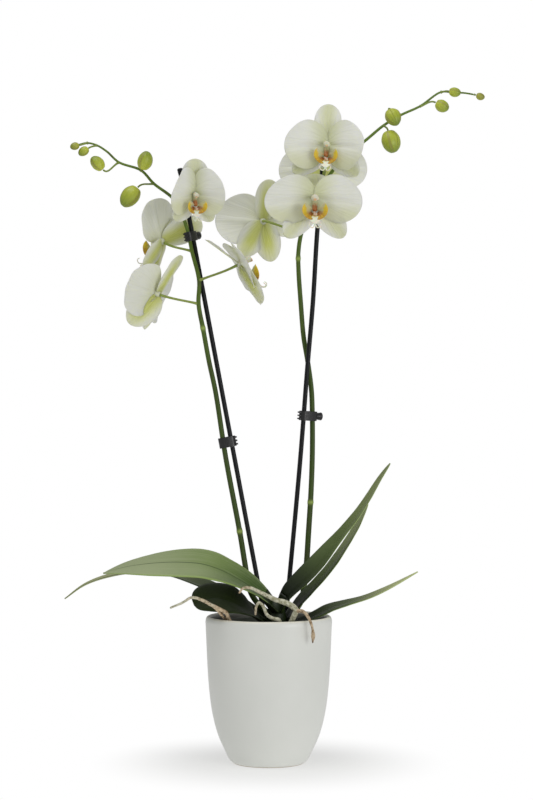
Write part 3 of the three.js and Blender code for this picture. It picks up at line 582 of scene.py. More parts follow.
# Radius and dryness are given at a branch's foot, middle and tip, and a bulb swells its end.
ROOTS = {
    "front": [
        dict(
            points=[
                (19, -42, 131), (21, -45, 148), (26, -48, 160), (28, -49.5, 167), (23, -49, 172),
                (16, -48, 175), (7.5, -47.5, 177.5), (-1, -48, 181.5), (-11, -50, 186.5),
                (-20, -52, 190.5), (-27, -53, 190), (-31, -53, 184.5),
            ],
            radius=(2.6, 3.4, 1.2), dry=(0.45, 0.15, 0.7), bulb=0,
        ),
        dict(
            points=[
                (27, -49, 166), (35.5, -54, 166), (41, -59.5, 160.5), (44.5, -62.5, 152.5),
                (46, -62, 143), (45.5, -60, 133.5),
            ],
            radius=(2.3, 1.7, 0.7), dry=(0.8, 0.9, 1.5), bulb=1.4,
        ),
    ],
    "middle": [
        dict(
            points=[
                (8, -42, 131), (11, -46, 148), (10.5, -50, 156.5), (4, -51.5, 158.5),
                (-2, -52, 162.5), (-5.5, -52, 170.5), (-10, -52, 175), (-13, -52, 171),
                (-14, -52, 161.5),
            ],
            radius=(2.2, 2.3, 1.2), dry=(0.1, 0.1, 0.75), bulb=0,
        ),
    ],
    "left": [
        dict(
            points=[
                (-33, -32, 131), (-35, -34.5, 141), (-38, -36.5, 149), (-42, -41, 157),
                (-44.5, -46, 163.5), (-52, -51, 168.5), (-61, -55, 173.5), (-69, -58, 178),
                (-80, -60, 181), (-90, -60, 175.5), (-103, -59, 170),
            ],
            radius=(1.8, 2.2, 1.1), dry=(1.1, 0.7, 0.35), bulb=0,
        ),
        dict(
            points=[
                (-60, -54.5, 173), (-54.5, -50.5, 168), (-50, -43.6, 162.2), (-46.5, -36, 157),
                (-41, -31, 149), (-38, -28, 137),
            ],
            radius=(1.6, 1.7, 1.4), dry=(0.8, 0.9, 1.0), bulb=0,
        ),
    ],
}


def add_rod(shape, path, radius_at, lay_at, sides, steps):
    """A closed rod along a path. radius_at(share, turn) is its radius, and lay_at(share, turn)
    gives three numbers for its finish. A turn goes from 0 to 1 round the rod."""
    lay = shape.verts.layers.float_vector["lay"]
    number = shape.verts.layers.int["number"]
    ring = bmesh.ops.create_circle(shape, cap_ends=True, segments=sides, radius=1)["verts"]
    for i, vert in enumerate(ring):
        vert[number] = i
    edges = edges_of(ring)
    across = path.way(0).orthogonal()
    for step in range(steps + 1):
        if step:
            made = bmesh.ops.extrude_edge_only(shape, edges=edges)["geom"]
            ring = verts_among(made)
            fresh = set(ring)
            edges = [
                item for item in made
                if isinstance(item, bmesh.types.BMEdge) and fresh.issuperset(item.verts)
            ]
        share = step / steps
        way = path.way(share)
        across = (across - way * across.dot(way)).normalized()
        other = way.cross(across)
        middle = path.at(share)
        for vert in ring:
            turn = vert[number] / sides
            out = across * cos(2 * pi * turn) + other * sin(2 * pi * turn)
            vert.co = middle + out * radius_at(share, turn)
            vert[lay] = lay_at(share, turn)
    bmesh.ops.holes_fill(shape, edges=edges, sides=0)


def taper(marks, share, middle=0.5):
    """A value at a share of a rod's length, from those at its foot, its middle and its tip."""
    foot, halfway, tip = marks
    if share < middle:
        return lerp(foot, halfway, share / middle)
    return lerp(halfway, tip, (share - middle) / (1 - middle))


def dome(share, length, radius):
    """How much of its radius a rod with a round tip has at a share of its length."""
    left = min(1, (1 - share) * length / radius)
    return sqrt(max(0.02, 1 - (1 - left) ** 2))


def root_finish():
    """Corky skin: lay x is how dry it is."""
    finish, wire = material("aerial_root")
    dry = parts_of(lay_of(wire))[0]
    furrow = grain(wire, 300, detail=4)
    patch = grain(wire, 110, detail=3)
    crack = between(furrow, 0.3, 0.6)
    silver = tint(crack, (0.34, 0.33, 0.19), (0.66, 0.65, 0.5))
    straw = tint(crack, (0.28, 0.18, 0.09), (0.64, 0.5, 0.33))
    dead = tint(crack, (0.06, 0.035, 0.02), (0.34, 0.23, 0.14))
    skin = tint(between(dry + patch * 0.7, 0.7, 1.15), silver, straw)
    color = tint(between(dry, 1.25, 1.5), skin, dead)
    height = crack + patch * 0.6
    surface(wire, color, 0.6 + furrow * 0.25, relief(height, 0.0008))
    return finish


cork = root_finish()
for name, branches in ROOTS.items():
    shape = new_shape()
    for branch in branches:
        path = Path(branch["points"])
        seed = Vector((path.length, 0, 0))

        def root_radius(share, turn):
            bulb = branch["bulb"] * math.exp(-(((share - 0.84) / 0.1) ** 2))
            radius = taper(branch["radius"], share, 0.4) + bulb
            angle = 2 * pi * turn
            spot = Vector((cos(angle), sin(angle), share * path.length * 0.16)) + seed
            shrivel = 0.3 * noise.noise(spot * 1.7) + 0.12 * noise.noise(spot * 4)
            return radius * (0.93 + shrivel * 0.5) * dome(share, path.length, radius)

        def root_lay(share, turn):
            return taper(branch["dry"], share), 0, 0

        add_rod(shape, path, root_radius, root_lay, sides=14, steps=int(path.length * 1.1))
    finish_piece(f"root_{name}_cork", shape, [cork], "root", f"root_{name}")

# -------------------- stakes
# Two slim stakes in blue-black coated cane, one straight and one bowed by its spike, each with a
# short soft cap pushed over its top end.
STAKE_RADIUS = 2.5
STAKE_CAP_LENGTH = 9
STAKE_CAP_RADII = (3.3, 2.65)
STAKES = {
    "left": [(-95, 3, 634), (12.9, 22, 60)],
    "right": [
        (58, 9, 633), (52, 12, 566.5), (47.6, 14, 493.5), (41.5, 16, 420.5), (34, 20, 323),
        (22.5, 27, 195.5), (18.5, 29.5, 154), (9.5, 33, 60),
    ],
}


def stake_finish():
    finish, wire = material("coated_cane")
    streak = grain(wire, 520, (1, 1, 0.03), detail=4)
    scuff = between(grain(wire, 90, detail=5), 0.6, 0.75)
    color = tint(streak, (0.001, 0.0014, 0.002), (0.006, 0.008, 0.01))
    worn = tint(scuff * 0.3, color, (0.016, 0.018, 0.016))
    fixed = {"Specular IOR Level": 0.25}
    surface(wire, worn, 0.3 + streak * 0.2 + scuff * 0.15, relief(streak, 0.0001), fixed)
    return finish


coated_cane = stake_finish()
for side, points in STAKES.items():
    shape = new_shape()
    path = Path(points)
    cap_foot = STAKE_CAP_LENGTH / path.length
    cap_top = 1 / path.length

    def stake_radius(share, turn):
        ripple = 0.04 * cos(2 * pi * 7 * turn)
        if share < cap_foot:
            rounded = sqrt(min(1, 0.3 + share / cap_top))
            return lerp(*STAKE_CAP_RADII, share / cap_foot) * rounded
        return (STAKE_RADIUS + ripple) * (1 if share < 0.995 else 0.8)

    steps = int(path.length * 0.9)
    add_rod(shape, path, stake_radius, lambda share, turn: (0, 0, 0), sides=28, steps=steps)
    finish_piece(f"stake_{side}_cane", shape, [coated_cane], "stake", f"stake_{side}")

# -------------------- flower spikes
# Two green stems, ringed by paler joints, with the thin stalks of their flowers and buds grown out
# of them. They thin towards the growing tip.

# A spike's radius is given at its foot, middle and tip, and its knots are the shares of its length
# where its joints are.
SPIKES = {
    "left": dict(
        points=[
            (2, 1, 156), (-6, 8, 163), (-13, 12.5, 169.5), (-19, 15, 179), (-22.5, 16, 192),
            (-25.5, 17, 210), (-31, 16, 244), (-46, 12, 324), (-57, 8, 395), (-64, 5, 428),
            (-70, 3, 461), (-75, 2, 489), (-74.5, 1.5, 514), (-82, 0.5, 545), (-86.5, 0, 566.5),
            (-93, -1, 585), (-102, -2, 601), (-122.5, -2, 617), (-136, -3, 631), (-159.5, -4, 639.5),
            (-172.5, -5, 651), (-183, -5, 657.5), (-193, -5, 660), (-201, -5, 658.5),
            (-211, -6, 655.5),
        ],
        radius=(3.1, 2.5, 0.9), knots=(6 / 35, 19 / 35),
    ),
    "right": dict(
        points=[
            (15, 5, 151), (22, 12, 155.5), (30, 20, 162), (35.5, 23, 171), (38, 23.5, 185),
            (40.5, 23.5, 207), (43, 23.5, 245), (45.5, 23.5, 285), (47, 23.5, 327), (47, 23, 370),
            (46, 23, 397), (42, 24, 428), (37.5, 23, 455), (34.5, 20, 490), (32, 15, 525),
            (31.8, 11, 545), (35, 6.5, 565), (44.5, 3, 588), (56.5, 1, 612), (67.5, 0, 630),
            (83.5, 0, 648.5), (103, -1, 663), (122.5, -2, 679), (141, -3, 690), (161, -5, 699),
            (183.5, -6, 714), (197, -5, 713.5), (208, -6, 713), (218.5, -8, 711),
        ],
        radius=(3.2, 2.5, 0.9), knots=(8 / 39, 23 / 39),
    ),
}
HUB_RADIUS = 4.2
STALK_GAP = 0.3
# A flower is at the place where its parts meet, and its stalk leaves the point of its spike that
# bears that number. Under top, petals, low and the like stands what its tepals have of their own.
FLOWERS = {
    "left_1": dict(
        at=(-119, 0, 499.5), face=(-0.86, 0.4, 0.3), up=(0.33, 0, 0.94), size=0.97, stalk=11,
        top=dict(tilt=-0.22, width=24, length=50), petals=dict(tilt=0.32, width=57),
        low=dict(tilt=0.18, width=34, turn=2.6), low_right=dict(roll=0.9),
    ),
    "left_2": dict(
        at=(-115, 18, 557), face=(-0.76, 0.47, 0.45), up=(0.55, 0.25, 0.8), size=0.95, stalk=13,
        hang=0.5, top=dict(tilt=-0.5, roll=-0.6, width=32, length=50),
        petal_left=dict(turn=0.95, tilt=0.9), petal_right=dict(turn=1.1, tilt=0.35),
        low_right=dict(turn=2.9, tilt=-0.3),
    ),
    "left_3": dict(
        at=(-78.5, -34, 603), face=(0.3, -0.9, -0.3), up=(0.1, -0.35, 0.9), size=0.8, stalk=16,
        ahead=5, top=dict(tilt=-0.1, width=36),
        petals=dict(tilt=0.6, length=40, width=57, turn=1.5, shoulder=0.36),
        low=dict(tilt=0.1, length=44),
    ),
    "left_4": dict(
        at=(-30, -14, 531), face=(0.88, 0.11, 0.46), up=(-0.47, 0, 0.88), size=0.98, stalk=12,
        hang=0.25, top=dict(tilt=-0.45, roll=-0.2, width=20), petals=dict(tilt=0.04, width=57),
        low=dict(tilt=-0.04, length=52, turn=2.8), low_left=dict(roll=-0.4),
    ),
    "right_1": dict(
        at=(48, -50, 597), face=(0, -1, -0.08), up=(0, 0, 1), size=1, stalk=17, top=dict(tilt=-0.95),
        petals=dict(width=47, shoulder=0.24), petal_left=dict(length=51),
        petal_right=dict(length=48), low=dict(length=51),
    ),
    "right_2": dict(
        at=(61, -31, 654), face=(-0.06, -1, 0.02), up=(0.04, 0, 1), size=0.93, stalk=18, ahead=1.5,
        top=dict(length=50), petals=dict(tilt=0.42, length=48, shoulder=0.3),
        petal_right=dict(tilt=0.6, length=47), low=dict(turn=2.3, length=49),
    ),
    "right_3": dict(
        at=(-6, 18, 578), face=(0.02, 1, -0.05), up=(0.18, 0, 1), size=1, stalk=16,
        top=dict(width=26), petal_left=dict(turn=1.1, length=45, width=46),
        low=dict(turn=2.75, length=44),
    ),
    "right_4": dict(at=(58.5, 38, 640), face=(0.1, 1, -0.1), up=(0, 0, 1), size=0.93, stalk=20),
}
# A bud is at the place of its middle, and its beak points along its axis.
BUDS = {
    "left_1": dict(at=(-148, 0, 603), axis=(-0.6, -0.1, -0.75), length=26, width=20, stalk=17),
    "left_2": dict(
        at=(-131.5, -12, 640.5), axis=(0.3, -0.25, 0.95), length=21, width=16.5, stalk=18,
    ),
    "left_3": dict(at=(-182.5, -7, 638), axis=(-0.6, -0.1, 0.65), length=18, width=14, stalk=19),
    "left_4": dict(at=(-197, -8, 650.5), axis=(-0.7, -0.2, -0.5), length=12.5, width=10, stalk=21),
    "left_5": dict(
        at=(-206, -12.5, 655.5), axis=(-0.9, -0.3, -0.25), length=10, width=8.5, stalk=22,
    ),
    "right_1": dict(at=(130, -8, 661), axis=(0.25, -0.1, -0.95), length=25, width=21, stalk=22),
    "right_2": dict(at=(132, -14, 686), axis=(0.35, -0.35, -0.7), length=20, width=17.5, stalk=23),
    "right_3": dict(at=(184.5, -8, 699), axis=(0.75, -0.1, -0.4), length=15.5, width=13.5, stalk=24),
    "right_4": dict(at=(197.5, -13, 713), axis=(0.9, -0.2, -0.15), length=13, width=10.5, stalk=25),
    "right_5": dict(at=(225, -8.5, 709), axis=(0.95, 0, -0.3), length=9.5, width=8, stalk=28),
}


def stem_finish():
    """Stem green: lay x marks a joint's pale ring, y goes up the stem, z marks a thin stalk."""
    finish, wire = material("stem_green")
    ring, along, stalk = parts_of(lay_of(wire))
    streak = grain(wire, 420, (1, 1, 0.1), detail=4)
    blotch = grain(wire, 60, detail=3)
    low = tint(streak, (0.022, 0.045, 0.004), (0.062, 0.105, 0.012))
    high = tint(streak, (0.075, 0.135, 0.012), (0.17, 0.26, 0.035))
    stem = tint(between(along, 0.35, 0.85), low, high)
    dusky = tint(between(blotch, 0.55, 0.7) * 0.4, stem, (0.05, 0.045, 0.02))
    thin = tint(streak, (0.2, 0.27, 0.05), (0.34, 0.4, 0.1))
    grown = tint(stalk, dusky, thin)
    color = tint(ring, grown, (0.3, 0.4, 0.09))
    surface(wire, color, 0.4 + streak * 0.15, relief(streak, 0.0001), {"Specular IOR Level": 0.3})
    return finish


def stalk_path(start, end, into):
    """The route of a stalk that leaves its spike and meets what it carries head on."""
    middle = start.lerp(end, 0.4)
    late = end - into * (0.4 * (end - start).length)

    def bow(t):
        early = start * (1 - t) ** 3 + middle * (3 * t * (1 - t) ** 2)
        return early + late * (3 * t * t * (1 - t)) + end * t**3

    return Path([bow(i / 8) for i in range(9)])


stem_green = stem_finish()
for side, spike in SPIKES.items():
    shape = new_shape()
    points = [Vector(point) for point in spike["points"]]
    path = Path(points)

    def ring_at(share):
        return max(math.exp(-(((share - knot) * path.length / 2.2) ** 2)) for knot in spike["knots"])

    def spike_radius(share, turn):
        radius = taper(spike["radius"], share, 0.55)
        flute = 0.05 * cos(2 * pi * 5 * turn + share * 9)
        return (radius + flute + 0.5 * ring_at(share)) * dome(share, path.length, radius)

    def spike_lay(share, turn):
        return ring_at(share), share, 0

    add_rod(shape, path, spike_radius, spike_lay, sides=20, steps=int(path.length * 0.8))
    for name, flower in FLOWERS.items():
        if name.startswith(side):
            face = Vector(flower["face"]).normalized()
            end = Vector(flower["at"]) - face * (HUB_RADIUS * flower["size"] * 0.9 + STALK_GAP)
            add_rod(
                shape, stalk_path(points[flower["stalk"]], end, face),
                lambda share, turn: 1.25 + 0.9 * math.exp(-share * 14) + 0.35 * share**6,
                lambda share, turn: (0.25 * share**3, 0.7, 1), sides=12, steps=28,
            )
    for name, bud in BUDS.items():
        if name.startswith(side):
            axis = Vector(bud["axis"]).normalized()
            end = Vector(bud["at"]) - axis * (bud["length"] / 2 + STALK_GAP)
            slim = min(1.1, bud["width"] / 8)
            add_rod(
                shape, stalk_path(points[bud["stalk"]], end, axis),
                lambda share, turn: slim * (0.9 + 0.8 * math.exp(-share * 10)),
                lambda share, turn: (0, 0.85, 0.6), sides=10, steps=16,
            )
    finish_piece(f"spike_{side}_stem", shape, [stem_green], "stem", f"spike_{side}")

# -------------------- flowers
# Each flower is three narrow sepals behind two broad petals, waxy white with fine veins, greenish
# at the heart and on the sepals' backs, round a white column that bears the pollen cap. Each
# petal's darker cream lower half, and part of its heart's olive green, are painted shade.
TOP_SEPAL = dict(
    petal=False, rows=30, columns=20, length=46, width=31, turn=0, tilt=-0.2, roll=0, curl=-0.05,
    cup=0.2, flare=0.12, wave=0.7, root=0, layer=-0.8, shoulder=0,
)
PETAL = dict(
    petal=True, rows=40, columns=40, length=50, width=52, turn=1.68, tilt=0.12, roll=0, curl=-0.15,
    cup=-0.25, flare=-0.06, wave=1.5, root=2, layer=1.3, shoulder=0.2,
)
LOW_SEPAL = dict(
    petal=False, rows=30, columns=20, length=48, width=29, turn=2.5, tilt=-0.02, roll=0, curl=0.15,
    cup=0.3, flare=-0.1, wave=0.8, root=0, layer=-1.5, shoulder=0,
)
TEPAL_THICKNESS = 0.9
COLUMN = [(0, 0, -1), (0, 0.1, 3), (0, 0.3, 7), (0, 0.2, 11), (0, -0.4, 13.1)]
POLLEN_CAP = (0, -1.3, 12.4)
POLLEN_CAP_RADII = (1.7, 1.5, 1.4)


def tepals_of(flower):
    """The sizes and leanings of a flower's five tepals: its kind's own, with its differences."""
    petals = {**PETAL, **flower.get("petals", {})}
    low = {**LOW_SEPAL, **flower.get("low", {})}
    return [
        {**TOP_SEPAL, **flower.get("top", {}), "hand": 1},
        {**petals, **flower.get("petal_left", {}), "hand": -1},
        {**petals, **flower.get("petal_right", {}), "hand": 1},
        {**low, **flower.get("low_left", {}), "hand": -1},
        {**low, **flower.get("low_right", {}), "hand": 1},
    ]


def to_disc(s, v):
    """Rounds the square of s and v to a disc: how far along the tepal, and how far across it."""
    return s * sqrt(1 - v * v / 2), v * sqrt(1 - s * s / 2)


def tepal_surface(tepal, size, phase):
    """A tepal's middle surface: a disc drawn out to its outline, hollowed, curled and turned."""
    bend = tepal["curl"] / tepal["length"]
    lean = Matrix.Rotation(tepal["tilt"], 3, "X") @ Matrix.Rotation(tepal["roll"], 3, "Y")
    swing = Matrix.Rotation(-tepal["turn"] * tepal["hand"], 3, "Z")
    layer = Vector((0, 0, tepal["layer"]))
    crease = 1.3 if tepal["petal"] else 0.7

    def at(s, v):
        along, across = to_disc(s, v)
        out = sqrt(along * along + across * across) or 1
        toward = max(0, -0.75 * along / out - 0.66 * tepal["hand"] * across / out)
        grown = 1 + tepal["shoulder"] * toward * toward
        x = tepal["width"] / 2 * across * grown * (1 + tepal["flare"] * along)
        reach = tepal["root"] + tepal["length"] * (1 + along * grown) / 2
        angle = math.atan2(across, along)
        rim = out**4 if along or across else 0
        waves = sin(3 * angle + phase) + 0.25 * sin(8 * angle + 3 * phase) * rim
        ripple = tepal["wave"] * waves * rim
        groove = crease * math.exp(-((x / 3) ** 2)) * (1 - along) * (1 + along) ** 0.5
        hollow = tepal["cup"] * x * x / tepal["width"] + ripple - groove
        y = sin(bend * reach) / bend - hollow * sin(bend * reach)
        z = (1 - cos(bend * reach)) / bend + hollow * cos(bend * reach)
        return swing @ (lean @ Vector((x, y, z)) + layer) * size

    return at


def pose_of(flower):
    """Where a flower drawn flat, with its face along +Z and its top along +Y, belongs."""
    face = Vector(flower["face"]).normalized()
    right = Vector(flower["up"]).cross(face).normalized()
    up = face.cross(right)
    turned = Matrix((right, up, face)).transposed().to_4x4()
    return Matrix.Translation(flower["at"]) @ turned


def petal_finish():
    """Waxy white: lay x goes across a tepal, towards the ground on a petal, y from its foot to its
    tip, and z is 1 or -1 on a petal's face or back, and 2 or -2 on a sepal's."""
    finish, wire = material("petal_white")
    across, along, kind = parts_of(lay_of(wire))
    off_middle = across.maths("ABSOLUTE", across)
    angle = across.maths("ARCTAN2", across, along + 0.12)
    fan = wire.node("CombineXYZ", {}, {0: angle * 16, 1: along * 1.2, 2: kind})
    vein = grain(wire, 1.6, detail=3, place=fan)
    cloud = grain(wire, 70, detail=2)
    veins = between(vein, 0.48, 0.72)
    heart = 1 - between(along, 0.04, 0.5)
    white = tint(veins * 0.16, (0.78, 0.79, 0.7), (0.64, 0.66, 0.48))
    # Painted shade: each petal's lower half, towards the ground, is painted a darker cream green.
    drawn = tint(between(across + cloud * 0.5, 0.1, 1) * 0.65, white, (0.62, 0.64, 0.36))
    # The heart's olive green on a petal's face is partly the flower's own green and partly painted
    # shade round the column.
    face = tint(heart * 0.75, drawn, (0.52, 0.55, 0.27))
    back = tint(heart * 0.5, white, (0.66, 0.69, 0.4))
    rib = 1 - between(off_middle, 0.1, 0.85)
    green = tint(veins, (0.56, 0.6, 0.13), (0.7, 0.71, 0.32))
    sepal_face = tint(rib * 0.6, white, (0.56, 0.59, 0.28))
    sepal_back = tint(rib * (0.85 - between(along, 0.5, 1) * 0.55) + 0.1, white, green)
    petal = tint(between(kind, -0.5, 0.5), back, face)
    sepal = tint(between(kind, -0.5, 0.5), sepal_back, sepal_face)
    color = tint(between(kind.maths("ABSOLUTE", kind), 1.2, 1.8), petal, sepal)
    sparkle = grain(wire, 2600, detail=2)
    fold = grain(wire, 0.55, detail=2, place=fan)
    height = vein * 0.07 + fold * 0.9 + sparkle * 0.04
    fixed = {
        "Subsurface Weight": 0.4, "Subsurface Scale": 0.004, "Subsurface Radius": (1, 1, 0.6),
        "Sheen Weight": 0.1, "Specular IOR Level": 0.35,
    }
    surface(wire, color, 0.42 + sparkle * 0.12, relief(height, 0.001), fixed)
    return finish


def column_finish():
    """Lay x is 0 on the white column, 1 on its pollen cap and 2 on its foot, which y goes along."""
    finish, wire = material("column_cream")
    kind, along, _ = parts_of(lay_of(wire))
    streak = grain(wire, 800, detail=3)
    cream = tint(streak, (0.6, 0.6, 0.4), (0.76, 0.75, 0.64))
    cap = tint(streak, (0.62, 0.36, 0.16), (0.82, 0.62, 0.4))
    # The foot's upper part is painted olive cream as painted shade inside the lip. Its lower part is
    # the lip's own red brown.
    foot = tint(between(along + streak * 0.5, 0.6, 0.9), (0.52, 0.5, 0.28), (0.4, 0.14, 0.03))
    upper = tint(between(kind, 0.3, 0.7), cream, cap)
    color = tint(between(kind, 1.3, 1.7), upper, foot)
    fixed = {"Subsurface Weight": 0.3, "Subsurface Scale": 0.0015}
    surface(wire, color, 0.35 + streak * 0.15, relief(streak, 0.0001), fixed)
    return finish


def mark_new(shape, first_vert, lay_at, finish_number=0):
    """Lays out the vertices added since the first anew, and gives their faces a finish."""
    lay = shape.verts.layers.float_vector["lay"]
    shape.verts.ensure_lookup_table()
    for vert in shape.verts[first_vert:]:
        vert[lay] = lay_at(vert.co, vert[lay])
        for face in vert.link_faces:
            face.material_index = finish_number


def add_ball(shape, middle, radii, segments=20):
    place = Matrix.Translation(middle) @ Matrix.Diagonal((*radii, 1))
    bmesh.ops.create_uvsphere(
        shape, u_segments=segments, v_segments=segments // 2, radius=1, matrix=place,
    )


def add_column(shape, flower):
    """The column: a hooded rod with the pollen cap under its tip, and a foot down to the lip."""
    start = len(shape.verts)
    stem = Path(COLUMN)

    def column_radius(share, turn):
        swell = lerp(2.5, 3.6, smoothstep(share, 0.3, 0.75))
        wing = 0.7 * max(0, -sin(2 * pi * turn - 0.6)) ** 8 * smoothstep(share, 0.4, 0.8)
        return (swell + wing) * dome(share, stem.length, 3.4)

    add_rod(shape, stem, column_radius, lambda share, turn: (0, 0, 0), sides=28, steps=24)
    cap = len(shape.verts)
    add_ball(shape, POLLEN_CAP, POLLEN_CAP_RADII)
    mark_new(shape, cap, lambda place, lay: (1, 0, 0))
    ahead = flower.get("ahead", 0)
    foot = Path([(0, 0, 3), (0, -8, 4.5 + ahead / 2), (0, -14, 7.5 + ahead)])
    below = len(shape.verts)

    def foot_radius(share, turn):
        return lerp(2, 2.7, smoothstep(share, 0, 0.3)) * dome(share, foot.length, 2.6)

    add_rod(shape, foot, foot_radius, lambda share, turn: (2, share, 0), sides=20, steps=18)
    mark_new(shape, start, lambda place, lay: lay, 1)
    hang = Matrix.Rotation(flower.get("hang", 0), 4, "X")
    bmesh.ops.transform(shape, matrix=hang, verts=shape.verts[below:])
    bmesh.ops.scale(shape, vec=(flower["size"],) * 3, verts=shape.verts[start:])


petal_white = petal_finish()
column_cream = column_finish()
for number, (name, flower) in enumerate(FLOWERS.items()):
    shape = new_shape()
    for i, tepal in enumerate(tepals_of(flower)):
        down = tepal["hand"] if tepal["petal"] else 1
        kind = 1 if tepal["petal"] else 2

        def tepal_lay(s, v):
            along, across = to_disc(s, v)
            return across * down, (1 + along) / 2

        def tepal_thickness(s, v):
            along, across = to_disc(s, v)
            return TEPAL_THICKNESS * (1 - 0.7 * (along * along + across * across) ** 3)

        first = len(shape.verts)
        at = tepal_surface(tepal, flower["size"], number * 1.7 + i * 2.3)
        add_blade(shape, at, tepal_thickness, tepal_lay, tepal["rows"], tepal["columns"])
        mark_new(shape, first, lambda place, lay: (*lay[:2], kind * lay.z))
    knot = len(shape.verts)
    add_ball(shape, (0, 0, 0), [HUB_RADIUS * flower["size"] * part for part in (1, 1, 0.9)])
    mark_new(shape, knot, lambda place, lay: (0, 0, -1))
    add_column(shape, flower)
    bmesh.ops.transform(shape, matrix=pose_of(flower), verts=shape.verts)
    finish_piece(f"bloom_{name}", shape, [petal_white, column_cream], "petal", f"flower_{name}")

# -------------------- lips
# Every flower's third petal is its lip: two side lobes that stand up beside the column, golden
# outside and streaked with red at their foot, a callus between them, and a white middle lobe that
# ends in two curled tendrils.
CUP_THICKNESS = 1.1
LOBE_THICKNESS = 1.3


def lip_finish():
    """Gold, red and white: lay x goes round the cup, y from its back to its front, and z says
    which part it is: 0 the cup, 1 the middle lobe and tendrils, 2 the callus."""
    finish, wire = material("lip_gold")
    lay = lay_of(wire)
    swing, along, part = parts_of(lay)
    out = swing.maths("ABSOLUTE", swing)
    streak = grain(wire, 2, (11, 1, 1), detail=3, place=lay)
    speck = grain(wire, 900, detail=3)
    gold = tint(speck, (0.6, 0.39, 0.01), (0.84, 0.66, 0.05))
    red = tint(speck, (0.22, 0.05, 0.01), (0.5, 0.18, 0.02))
    pale = tint(speck, (0.8, 0.78, 0.56), (0.88, 0.88, 0.8))
    streaks = between(streak + speck * 0.2, 0.42, 0.6) * (1 - between(out, 0.3, 0.7))
    # Painted shade: the cup's inside, between its gold rims, is a darker olive cream. The red streaks
    # on it are the lip's own.
    hollow = tint(streaks, tint(speck, (0.46, 0.44, 0.2), (0.64, 0.62, 0.38)), red)
    edged = tint(between(along - between(out, 0.8, 1) * 0.5, 0.4, 0.7), hollow, gold)
    cup = tint(streaks * 0.6, edged, red)
    callus = tint(between(streak + speck * 0.4, 0.6, 0.8), pale, red)
    lobe = tint(1 - between(along, 0.05, 0.4), pale, gold)
    front = tint(between(part, 0.4, 0.6), cup, lobe)
    color = tint(between(part, 1.4, 1.6), front, callus)
    fixed = {"Subsurface Weight": 0.25, "Subsurface Scale": 0.0015}
    surface(wire, color, 0.36 + speck * 0.15, relief(speck, 0.00015), fixed)
    return finish


def lip_cup(s, v):
    """The cup's middle surface: s swings from one side lobe to the other, v from back to front."""
    swing = 2.3 * s
    breadth = 2.6 + 2.4 * sin(pi * min(1, abs(s) * 1.05))
    radius = 8.2 + (3.6 + 1.2 * abs(s)) * v
    depth = 9.5 + breadth * v + 2.5 * abs(s)
    return Vector((1.05 * radius * sin(swing), -12.5 - 0.95 * (radius - 1) * cos(swing), depth))


def lip_middle_lobe(s, v):
    """The middle lobe's middle surface: s goes out to its tip, and v across it."""
    out = (s + 1) / 2
    breadth = lerp(2.6, 0.9, out) + 4 * sin(pi * clamp(out * 1.3 - 0.15, 0, 1))
    return Vector((breadth * v, -17 - 11 * out, 6 + 9 * sqrt(out) + 0.8 * v * v))


def add_tendril(shape, hand):
    """A curled thread from the middle lobe's tip."""
    path = Path([
        (hand * 0.5, -27, 14.5), (hand * 1.6, -30, 17.5), (hand * 4, -30.5, 21),
        (hand * 6.2, -27.5, 22), (hand * 5.4, -25, 20),
    ])

    def tendril_radius(share, turn):
        return lerp(0.8, 0.4, share) * dome(share, path.length, 0.6)

    add_rod(shape, path, tendril_radius, lambda share, turn: (1, 1, 1), sides=10, steps=26)


lip_gold = lip_finish()
for name, flower in FLOWERS.items():
    shape = new_shape()
    add_blade(
        shape, lip_cup,
        lambda s, v: CUP_THICKNESS * max(0.35, edge_thinning(v) * sqrt(max(0, 1 - abs(s) ** 9))),
        lambda s, v: (s, (v + 1) / 2), rows=64, columns=14,
    )
    mark_new(shape, 0, lambda place, lay: (*lay[:2], 0))
    first = len(shape.verts)
    add_blade(
        shape, lip_middle_lobe,
        lambda s, v: LOBE_THICKNESS * max(0.3, edge_thinning(v)),
        lambda s, v: (v, (s + 1) / 2), rows=24, columns=12,
    )
    mark_new(shape, first, lambda place, lay: (*lay[:2], 1))
    for hand in (1, -1):
        add_tendril(shape, hand)
    first = len(shape.verts)
    add_ball(shape, (0, 0, 0), (1, 1, 1), segments=28)
    mark_new(shape, first, lambda place, lay: (place.x * 0.4, place.z, 2))
    for vert in shape.verts[first:]:
        ridge = 1 + 0.25 * cos(3 * math.atan2(vert.co.y, vert.co.x)) * (1 - vert.co.z**2)
        vert.co = (2.4 * vert.co.x * ridge, 2.6 * vert.co.y * ridge - 16.8, 3 * vert.co.z + 9)
    place = pose_of(flower) @ Matrix.Scale(flower["size"], 4)
    place = place @ Matrix.Rotation(flower.get("hang", 0), 4, "X")
    place = place @ Matrix.Translation((0, 0, flower.get("ahead", 0)))
    bmesh.ops.transform(shape, matrix=place, verts=shape.verts)
    finish_piece(f"lip_{name}_lobes", shape, [lip_gold], "lip", f"lip_{name}")

# -------------------- buds
# Closed buds, plump and yellow green. Their three sepals meet along raised seams that run into a
# blunt beak, and the youngest at the tips are small and brownish.
BUD_OUTLINE = [(0, -0.5), (0.62, -0.42), (1, -0.1), (0.9, 0.2), (0.42, 0.45), (0, 0.5)]


